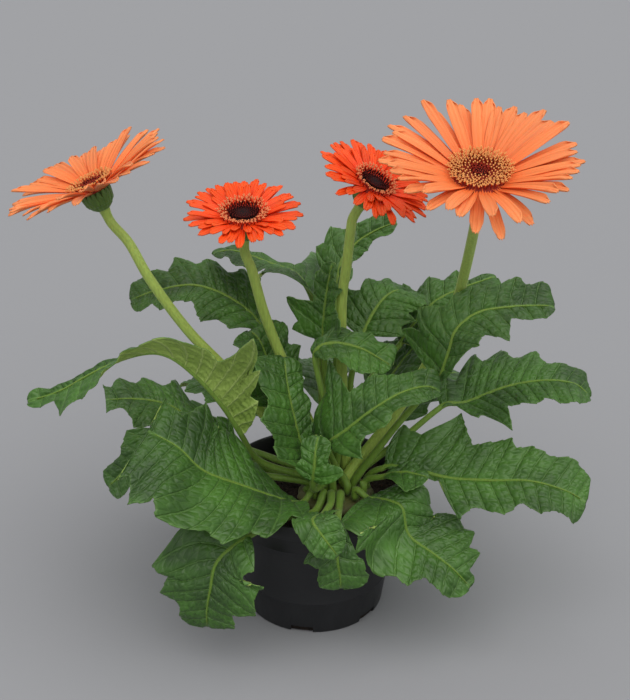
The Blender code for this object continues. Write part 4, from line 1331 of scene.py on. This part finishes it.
@dataclass
class Flower:
    """One flower and its stem: calyx of bracts, strap rays, small florets and the disc of buds.

    root and route: as for a leaf. head: the middle of the head. lean: degrees that it tips
    toward the direction lean_toward. drooping: rays that hang, as ray number to degrees down.
    cup_section: the calyx's radius and depth, as shares of its own.
    """

    name: str
    age: Age
    root: tuple[float, float]
    route: tuple
    head: tuple[float, float, float]
    lean: float
    lean_toward: float
    radius: float
    rays: int
    rise: float
    ring_radius: float
    disc_radius: float
    ray_width: float
    seed: int
    drooping: dict[int, float] = field(default_factory=dict)
    calyx_radius: float = 0.0100
    calyx_height: float = 0.017
    cup_section: tuple = ((1.0, 0.0), (1.0, 0.25), (0.88, 0.62), (0.58, 0.90), (0.36, 1.0))
    stem_base: float = 0.0041
    stem_top: float = 0.0034
    stem_ribs: int = 9
    stem_sink: float = 0.002    # how far the stem runs up into the calyx
    neck: float = 0.014         # the straight stretch of stem below it
    whorl_step: float = 0.0009  # how far one whorl of rays lies above the next
    ray_thickness: float = 0.0004
    floret_pitch: float = 0.00125
    bud_pitch: float = 0.00092
    bud_half_width: float = 0.00056

    def __post_init__(self) -> None:
        """Sets the random source and the head's place."""
        self.rng = np.random.default_rng(self.seed)
        turn = Euler((0, math.radians(self.lean), math.radians(self.lean_toward))).to_matrix()
        self.turn = np.array(turn)
        self.centre = np.array(self.head) * MM

    def placed(self, points: Grid) -> Grid:
        """Points of the head, given facing +Z, in the part's frame."""
        return points @ self.turn.T + self.centre

    def stem(self, finish: bpy.types.Material) -> None:
        """Makes the stem: faintly ribbed, narrowest below the head.

        Args:
            finish: the stem's material.
        """
        facing = self.turn[:, 2]
        top = self.centre - facing * (self.calyx_height - self.stem_sink)
        neck = top - facing * self.neck
        start = np.array(crown_point(*self.root, self.stem_base))
        middle = [tuple(c * MM for c in point) for point in self.route]
        _, path, _ = smooth_route([start, start + (0, 0, 0.008), *middle, neck, top], 0.0025)
        share = np.linspace(0, 1, len(path))
        radius = self.stem_base + (self.stem_top - self.stem_base) * share
        radius = radius + 0.0009 * ease(share, 0.97, 1.0)
        across = np.tile((1.0, 0.0, 0.0), (len(path), 1))
        rings = tube_rings(path, across, radius, radius, 40)
        ribs = np.cos(np.linspace(0, math.tau, 40, endpoint=False) * self.stem_ribs)[None, :, None]
        rings += (rings - path[:, None]) * 0.028 * ribs
        shell = Shell()
        shell.sheet(rings, wrap=True, caps=True)
        shell.piece(f"{self.name}_stalk", [finish], (f"{self.name}_stem",))

    def calyx(self, finish: bpy.types.Material) -> None:
        """Makes the green cup and its overlapping pointed bracts.

        Args:
            finish: the bracts' material.
        """
        shell = Shell()
        turns = np.linspace(0, math.tau, 48, endpoint=False)
        section = np.array(((0.0002, 0.0), (0.98, 0.0), *self.cup_section[1:], (0.0002, 1.0)))
        ring, depth = section[:, :1] * self.calyx_radius, section[:, 1:] * -self.calyx_height
        cup = np.stack(np.broadcast_arrays(ring * np.cos(turns), ring * np.sin(turns), depth), -1)
        shell.sheet(self.placed(cup), wrap=True, caps=True, layers=self.even(len(section), 48))
        for row, (count, foot, tip, stand) in enumerate(
            ((17, 0.97, 0.42, 0.0003), (18, 0.86, 0.16, 0.0008), (19, 0.70, -0.10, 0.0013))
        ):
            for index in range(count):
                turn = math.tau * (index + 0.5 * row + self.rng.uniform(-0.12, 0.12)) / count
                self.bract(shell, turn, foot, tip + self.rng.uniform(-0.04, 0.04), stand)
        shell.piece(f"{self.name}_bracts", [finish], (f"{self.name}_calyx",))

    def bract(self, shell: Shell, turn: float, foot: float, tip: float, stand: float) -> None:
        """Adds a narrow pointed bract that hugs the cup from foot to tip, as shares of its depth.

        Args:
            shell: the piece it joins.
            turn: its direction, in radians.
            foot: how deep its foot is, as a share of the cup.
            tip: how deep its tip is.
            stand: how far it stands off the cup.
        """
        depth = np.linspace(foot, tip, 9)
        radii, depths = np.array(((1.12, -0.4), *self.cup_section)).T
        reach = np.interp(depth, depths, radii) * self.calyx_radius + stand
        share = np.linspace(0, 1, 9)
        wide = 0.0019 * np.sin(math.pi * np.clip(0.22 + 0.78 * share, 0, 1)) ** 0.8 + 0.0001
        sides = np.array([-1, -0.5, 0, 0.5, 1.0])
        angle = turn + (wide[:, None] * sides) / reach[:, None]
        bulge = reach[:, None] + 0.0006 * (1 - sides**2)
        level = -depth[:, None] * self.calyx_height
        top = np.stack(np.broadcast_arrays(bulge * np.cos(angle), bulge * np.sin(angle), level), -1)
        under = top.copy()
        under[..., :2] *= 1 - 0.00035 / reach[:, None, None]
        ring = np.concatenate([top, under[:, ::-1]], 1)
        shell.sheet(self.placed(ring), wrap=True, caps=True, layers=self.even(9, 10))

    @staticmethod
    def even(rows: int, columns: int) -> dict[str, Grid]:
        """A petal layer that runs from 0 to 1 along the rows."""
        along = np.repeat(np.linspace(0, 1, rows)[:, None], columns, 1)
        return {"petal": np.stack([np.zeros_like(along), along], -1)}

    def ray(
        self, shell: Shell, turn: float, length: float, width: float, rise: float, level: float
    ) -> None:
        """Adds one strap petal with lengthwise folds and a blunt, notched tip.

        Args:
            shell: the piece it joins.
            turn: its direction, in radians.
            length: its reach from the head's middle.
            width: its widest.
            rise: its slope at the base, in degrees.
            level: the height of its base.
        """
        rng = self.rng
        along = np.linspace(0, 1, 26)[:, None]
        side = np.linspace(-1, 1, 13)[None]
        start = self.disc_radius * 0.8
        teeth = 0.018 * (1 - np.cos(1.5 * math.pi * side) ** 2)
        notch = teeth + 0.075 * side**4 + 0.012 * rng.uniform(-1, 1) * side
        reach = start + (length - start) * along * (1 - notch * along**3)
        swell = 0.42 + 0.58 * ease(along, 0.0, 0.62)
        end = np.sqrt(np.clip(1 - (np.clip(along - 0.86, 0, 1) / 0.145) ** 2.2, 0, 1))
        half = 0.5 * width * swell * (0.36 + 0.64 * end)
        out = half * side + 0.0012 * rng.uniform(-1, 1) * np.sin(math.pi * along * 0.9) * along
        flat = max(0.88 * self.ring_radius - start, 0.0) / (length - start)
        beyond = np.sqrt(np.clip(along - flat, 0, 1) ** 2 + 0.0016) - 0.04
        droop = (0.10 + 0.07 * rng.random()) * along**2.4
        height = level + (length - start) * (math.tan(math.radians(rise)) * beyond / (1 - flat) - droop)
        cup = rng.uniform(0.05, 0.28)
        folds = 0.00042 * np.cos(3 * math.pi * side) * ease(along, 0.05, 0.3)
        height = height + cup * half * side**2 - folds
        twist = math.radians(rng.uniform(-9, 9)) * along
        height = height + np.sin(twist) * out
        height = height + 0.0006 * rng.uniform(-1, 1) * np.sin(7 * along + rng.uniform(0, 6)) * side
        grid = np.stack(np.broadcast_arrays(reach, out, height), -1)
        c, s = math.cos(turn), math.sin(turn)
        spin = np.array([[c, -s, 0], [s, c, 0], [0, 0, 1]])
        spot = np.stack(np.broadcast_arrays(side, along), -1)
        tone = np.full(spot.shape, rng.random())
        shell.sheet(self.placed(grid @ spin.T), {"petal": spot, "tone": tone})

    def corolla(self, finish: bpy.types.Material) -> None:
        """Makes the whorls of rays.

        Args:
            finish: the rays' material.
        """
        rng = self.rng
        shell = Shell()
        for index in range(self.rays):
            turn = math.tau * (index + rng.uniform(-0.22, 0.22)) / self.rays
            inner = index % 2
            length = self.radius * (1 - 0.05 * inner) * rng.uniform(0.955, 1.01)
            rise = self.rise + 5.2 + 2.4 * inner + rng.normal(0, 2.0) - self.drooping.get(index, 0.0)
            width = self.ray_width * rng.uniform(0.88, 1.08)
            self.ray(shell, turn, length, width, rise, 0.0006 + self.whorl_step * inner)
        short_rays = self.rays * 2 // 3 if self.age is Age.YOUNG else 0
        for index in range(short_rays):
            turn = math.tau * (index + 0.5 + rng.uniform(-0.3, 0.3)) / short_rays
            length = self.radius * rng.uniform(0.66, 0.82)
            rise = self.rise + 11 + rng.normal(0, 2.5)
            self.ray(shell, turn, length, self.ray_width * 0.8, rise, 0.0022)
        rays = shell.piece(f"{self.name}_petals", [finish], (f"{self.name}_rays",))
        thick = rays.modifiers.new("Thickness", "SOLIDIFY")
        thick.thickness, thick.offset = self.ray_thickness, -1.0

    def floret(
        self, shell: Shell, away: float, turn: float, base: float, tall: float, tip: float, lips: int
    ) -> None:
        """Adds a small tube that flares into lips.

        Args:
            shell: the piece it joins.
            away: its distance from the head's middle.
            turn: its direction, in radians.
            base: the height of its foot.
            tall: its height.
            tip: the half width of its mouth.
            lips: how many lips it opens into.
        """
        rng = self.rng
        lean = 0.42 * away / self.ring_radius + rng.uniform(-0.12, 0.12)
        levels, widths = (0.0, 0.55, 0.85, 1.0), (0.55, 0.6, 0.9, 1.0)
        turns = np.linspace(0, math.tau, 7, endpoint=False) + turn
        rows = []
        for level, width in zip(levels, widths):
            rise, shift = tall * level * math.cos(lean), away + tall * level**1.3 * math.sin(lean)
            ring = np.stack([np.cos(turns), np.sin(turns), np.zeros(7)], 1) * tip * width
            rows.append(ring + (shift * math.cos(turn), shift * math.sin(turn), base + rise))
        shell.sheet(self.placed(np.array(rows)), wrap=True, caps=True, layers=self.even(4, 7))
        outer = rows[-1].mean(0)
        for index in range(lips):
            way = turn + math.tau * (index / lips) + rng.uniform(-0.3, 0.3)
            reach = tip * (2.6 if index == 0 else 1.7)
            line = np.linspace(0.3, 1, 4)[:, None]
            side = np.array([-1, 0, 1.0])[None]
            wide = tip * 0.62 * np.sqrt(np.clip(1.02 - line**3, 0.02, 1)) * side
            x = outer[0] + reach * line * math.cos(way) - wide * math.sin(way)
            y = outer[1] + reach * line * math.sin(way) + wide * math.cos(way)
            z = outer[2] + 0.7 * tip * np.sin(line * 2.4)
            top = np.stack(np.broadcast_arrays(x, y, z), -1)
            ring = np.concatenate([top, top[:, ::-1] - (0, 0, 0.00016)], 1)
            tone = {"petal": np.stack([np.zeros((4, 6)), np.full((4, 6), 1.0)], -1)}
            shell.sheet(self.placed(ring), tone, wrap=True, caps=True)

    def centre_pieces(self, finishes: dict[str, bpy.types.Material]) -> None:
        """Makes the ring of florets and the disc of closed buds.

        Args:
            finishes: the shared materials, by name.
        """
        rng = self.rng
        golden = math.pi * (3 - math.sqrt(5))
        young = self.age is Age.YOUNG
        shell = Shell()
        self.cushion(shell, self.ring_radius * 1.04, 0.0018, 0.0036)
        count = int((self.ring_radius**2 - self.disc_radius**2) / self.floret_pitch**2)
        for index in range(count):
            share = (index + 0.5) / count
            away = math.sqrt(self.disc_radius**2 + share * (self.ring_radius**2 - self.disc_radius**2))
            out = (away - self.disc_radius) / (self.ring_radius - self.disc_radius)
            open_now = out > (0.25 if young else 0.38)
            tall = (0.0026 + 0.0022 * out) * rng.uniform(0.85, 1.15)
            tip = (0.00062 if open_now else 0.00052) * rng.uniform(0.85, 1.15)
            lips = 3 if open_now else 0
            self.floret(shell, away * 0.985, index * golden, 0.0030, tall, tip, lips)
        finish = finishes["floret_young" if young else "floret_open"]
        shell.piece(f"{self.name}_small_florets", [finish], (f"{self.name}_florets",))
        shell = Shell()
        self.cushion(shell, self.disc_radius, 0.0026, 0.0050 if young else 0.0042)
        inner = 0.62 if young else 0.60
        count = int(self.disc_radius**2 / self.bud_pitch**2)
        for index in range(count):
            away = self.disc_radius * math.sqrt((index + 0.5) / count)
            out = away / self.disc_radius
            tall = (0.0011 + 0.0016 * ease(np.array(out), inner, 1.0)) * rng.uniform(0.9, 1.1)
            base = 0.0048 - 0.0009 * (1 - out**2) if young else 0.0040
            self.bud(shell, away, index * golden, base, float(tall), self.bud_half_width)
        finish = finishes["bud_young" if young else "bud_open"]
        shell.piece(f"{self.name}_buds", [finish], (f"{self.name}_disc",))

    def cushion(self, shell: Shell, radius: float, low: float, high: float) -> None:
        """Adds the low dome that florets or buds stand on.

        Args:
            shell: the piece it joins.
            radius: its radius.
            low: the height of its edge.
            high: the height of its top.
        """
        turns = np.linspace(0, math.tau, 48, endpoint=False)
        rows = []
        for share in np.linspace(0.01, 1, 8):
            height = low + (high - low) * (1 - share**2)
            ring = radius * share
            rows.append(np.stack([ring * np.cos(turns), ring * np.sin(turns), np.full(48, height)], 1))
        rows.append(rows[-1] * (1, 1, 0) + (0, 0, low - 0.0014))
        layers = {"petal": np.zeros((9, 48, 2))}
        shell.sheet(self.placed(np.array(rows)), layers, wrap=True, caps=True)

    def bud(
        self, shell: Shell, away: float, turn: float, base: float, tall: float, width: float
    ) -> None:
        """Adds one closed bud: a blunt pointed drop.

        Args:
            shell: the piece it joins.
            away: its distance from the head's middle.
            turn: its direction, in radians.
            base: the height of its foot.
            tall: its height.
            width: its half width.
        """
        turns = np.linspace(0, math.tau, 6, endpoint=False) + turn
        middle = (away * math.cos(turn), away * math.sin(turn))
        rows = []
        for level, size in ((0.0, 0.8), (0.45, 1.0), (0.85, 0.7), (1.0, 0.15)):
            spots = np.stack([np.cos(turns), np.sin(turns), np.zeros(6)], 1) * width * size
            rows.append(spots + (*middle, base + tall * level))
        shell.sheet(self.placed(np.array(rows)), wrap=True, caps=True, layers=self.even(4, 6))

    def build(self, finishes: dict[str, bpy.types.Material]) -> None:
        """Makes every piece of the flower.

        Args:
            finishes: the shared materials, by name.
        """
        self.stem(finishes["stem"])
        self.calyx(finishes["bract"])
        self.corolla(finishes["ray_young" if self.age is Age.YOUNG else "ray_open"])
        self.centre_pieces(finishes)


FLOWERS = (
    Flower("flower_left", Age.OPEN, (176, 9.5),
           ((-20, 4, 133), (-61, 14, 184), (-91, 18, 218), (-117, 26, 254), (-132, 35, 279)),
           (-156, 43, 318), 23, 178, 0.0630, 38, 14, 0.016, 0.008, 0.0084, 11),
    Flower("flower_middle_left", Age.YOUNG, (236, 9.5),
           ((4, -4, 135), (-8, 4, 161), (-26, 12, 206), (-36, 8, 239), (-43, 4, 271)),
           (-48, 0, 313), 12, 270, 0.041, 34, 9, 0.016, 0.0105, 0.0066, 23),
    Flower("flower_middle_right", Age.YOUNG, (34, 9.5),
           ((21, 10, 166), (20, 24, 233), (23, 20, 267), (26, 16, 300)),
           (40, 10, 332), 29, 333, 0.043, 34, 9, 0.0145, 0.0100, 0.0068, 37),
    Flower("flower_right", Age.OPEN, (334, 9.5),
           ((58, 10, 150), (85, 22, 192), (102, 20, 239), (105, -2, 275), (105, -40, 321)),
           (104, -61, 365), 16, 270, 0.0645, 42, 17, 0.0195, 0.0060, 0.0088, 41,
           {1: 24.0, 41: 18.0, 3: 12.0}),
)


# ---- stage ----


@dataclass
class Stage:
    """The floor, the lights and the camera."""

    floor_radius: float = 6.0
    camera_place: tuple[float, float, float] = (0.0008, -0.8919, 0.6659)
    camera_tilt: float = 63.0
    lens_mm: float = 72.0
    sky: float = 0.75

    def floor(self) -> None:
        """Makes the wide pale floor."""
        turns = np.linspace(0, math.tau, 96, endpoint=False)
        rows = [
            np.stack([r * np.cos(turns), r * np.sin(turns), np.full(96, z)], 1)
            for r, z in ((0.001, 0.0), (1.0, 0.0), (self.floor_radius, 0.0), (self.floor_radius, -0.01))
        ]
        shell = Shell()
        shell.sheet(np.array(rows), wrap=True, caps=True)
        mesh = bpy.data.meshes.new("floor")
        mesh.from_pydata(np.vstack(shell.points).tolist(), [], shell.faces)
        mesh.materials.append(Paper().make())
        item = bpy.data.objects.new("floor", mesh)
        bpy.context.scene.collection.objects.link(item)

    def lamp(
        self, name: str, place: tuple, aim: tuple, spread: float, power: float, tint: str
    ) -> None:
        """Adds a soft, even light.

        Args:
            name: the light's name.
            place: where it comes from.
            aim: the point that it faces.
            spread: how wide its source looks, in degrees.
            power: its strength.
            tint: its colour.
        """
        data = bpy.data.lights.new(name, "SUN")
        data.angle, data.energy, data.color = math.radians(spread), power, linear(tint)[:3]
        item = bpy.data.objects.new(name, data)
        away = np.array(place, float) - np.array(aim, float)
        way = Vector(away).to_track_quat("Z", "Y")
        item.location, item.rotation_mode, item.rotation_quaternion = place, "QUATERNION", way
        bpy.context.scene.collection.objects.link(item)

    def build(self) -> None:
        """Makes the stage."""
        self.floor()
        self.lamp("ceiling_light", (0.3, -0.8, 2.0), (0, 0, 0.15), 75.0, 2.0, "#FFFDF8")
        world = bpy.data.worlds.new("studio")
        world.use_nodes = True
        shade = world.node_tree.nodes["Background"].inputs
        shade["Color"].default_value = linear("#DDDEE0")
        shade["Strength"].default_value = self.sky
        bpy.context.scene.world = world
        bpy.context.scene.view_settings.view_transform = "Standard"
        data = bpy.data.cameras.new("camera")
        data.lens, data.sensor_width, data.clip_end = self.lens_mm, 36.0, 20.0
        camera = bpy.data.objects.new("camera", data)
        camera.location = self.camera_place
        camera.rotation_euler = (math.radians(self.camera_tilt), 0, 0)
        bpy.context.scene.collection.objects.link(camera)
        bpy.context.scene.camera = camera


def finishes() -> dict[str, bpy.types.Material]:
    """Makes the materials that several pieces share.

    Returns:
        The materials, by name.
    """
    open_ray = RayTissue("ray_pale_orange", "#F65E24", "#FF8344", "#FF9A5E")
    young_ray = RayTissue("ray_deep_orange", "#EE3408", "#FF4A10", "#FF5C18")
    return {
        "upper": LeafBlade().make(),
        "under": LeafBlade(
            Side.UNDER, dark="#7E9A40", light="#98B254", vein="#B0C472", roughness=0.55, side_strength=0.5
        ).make(),
        "stalk": StalkSkin("leaf_stalk_skin", "#62822A", "#7C9C40").make(),
        "stem": StalkSkin("flower_stem_skin", "#94AE4A", "#A4BC5A").make(),
        "bract": StalkSkin("bract_skin", "#4C6A2A", "#5B7A33").make(),
        "ray_open": open_ray.make(),
        "ray_young": young_ray.make(),
        "floret_open": FloretTissue("floret_golden", "#8A2416", "#D4602A", "#F6AE66").make(),
        "floret_young": FloretTissue("floret_orange", "#8C1E10", "#D9481E", "#F79A66").make(),
        "bud_open": FloretTissue("bud_red", "#300A0A", "#6A1612", "#B83A1E", roughness=0.7).make(),
        "bud_young": FloretTissue("bud_maroon", "#1C0607", "#3A0C0C", "#5E1812", roughness=0.75).make(),
    }


def main() -> None:
    """Builds the plant from the pot up, then the stage."""
    logging.basicConfig(level=logging.INFO, format="%(name)s: %(message)s")
    shared = finishes()
    Pot().build()
    Ground().build()
    for leaf in LEAVES:
        leaf.build(shared)
    for flower in FLOWERS:
        flower.build(shared)
    Stage().build()


if __name__ == "__main__":
    main()
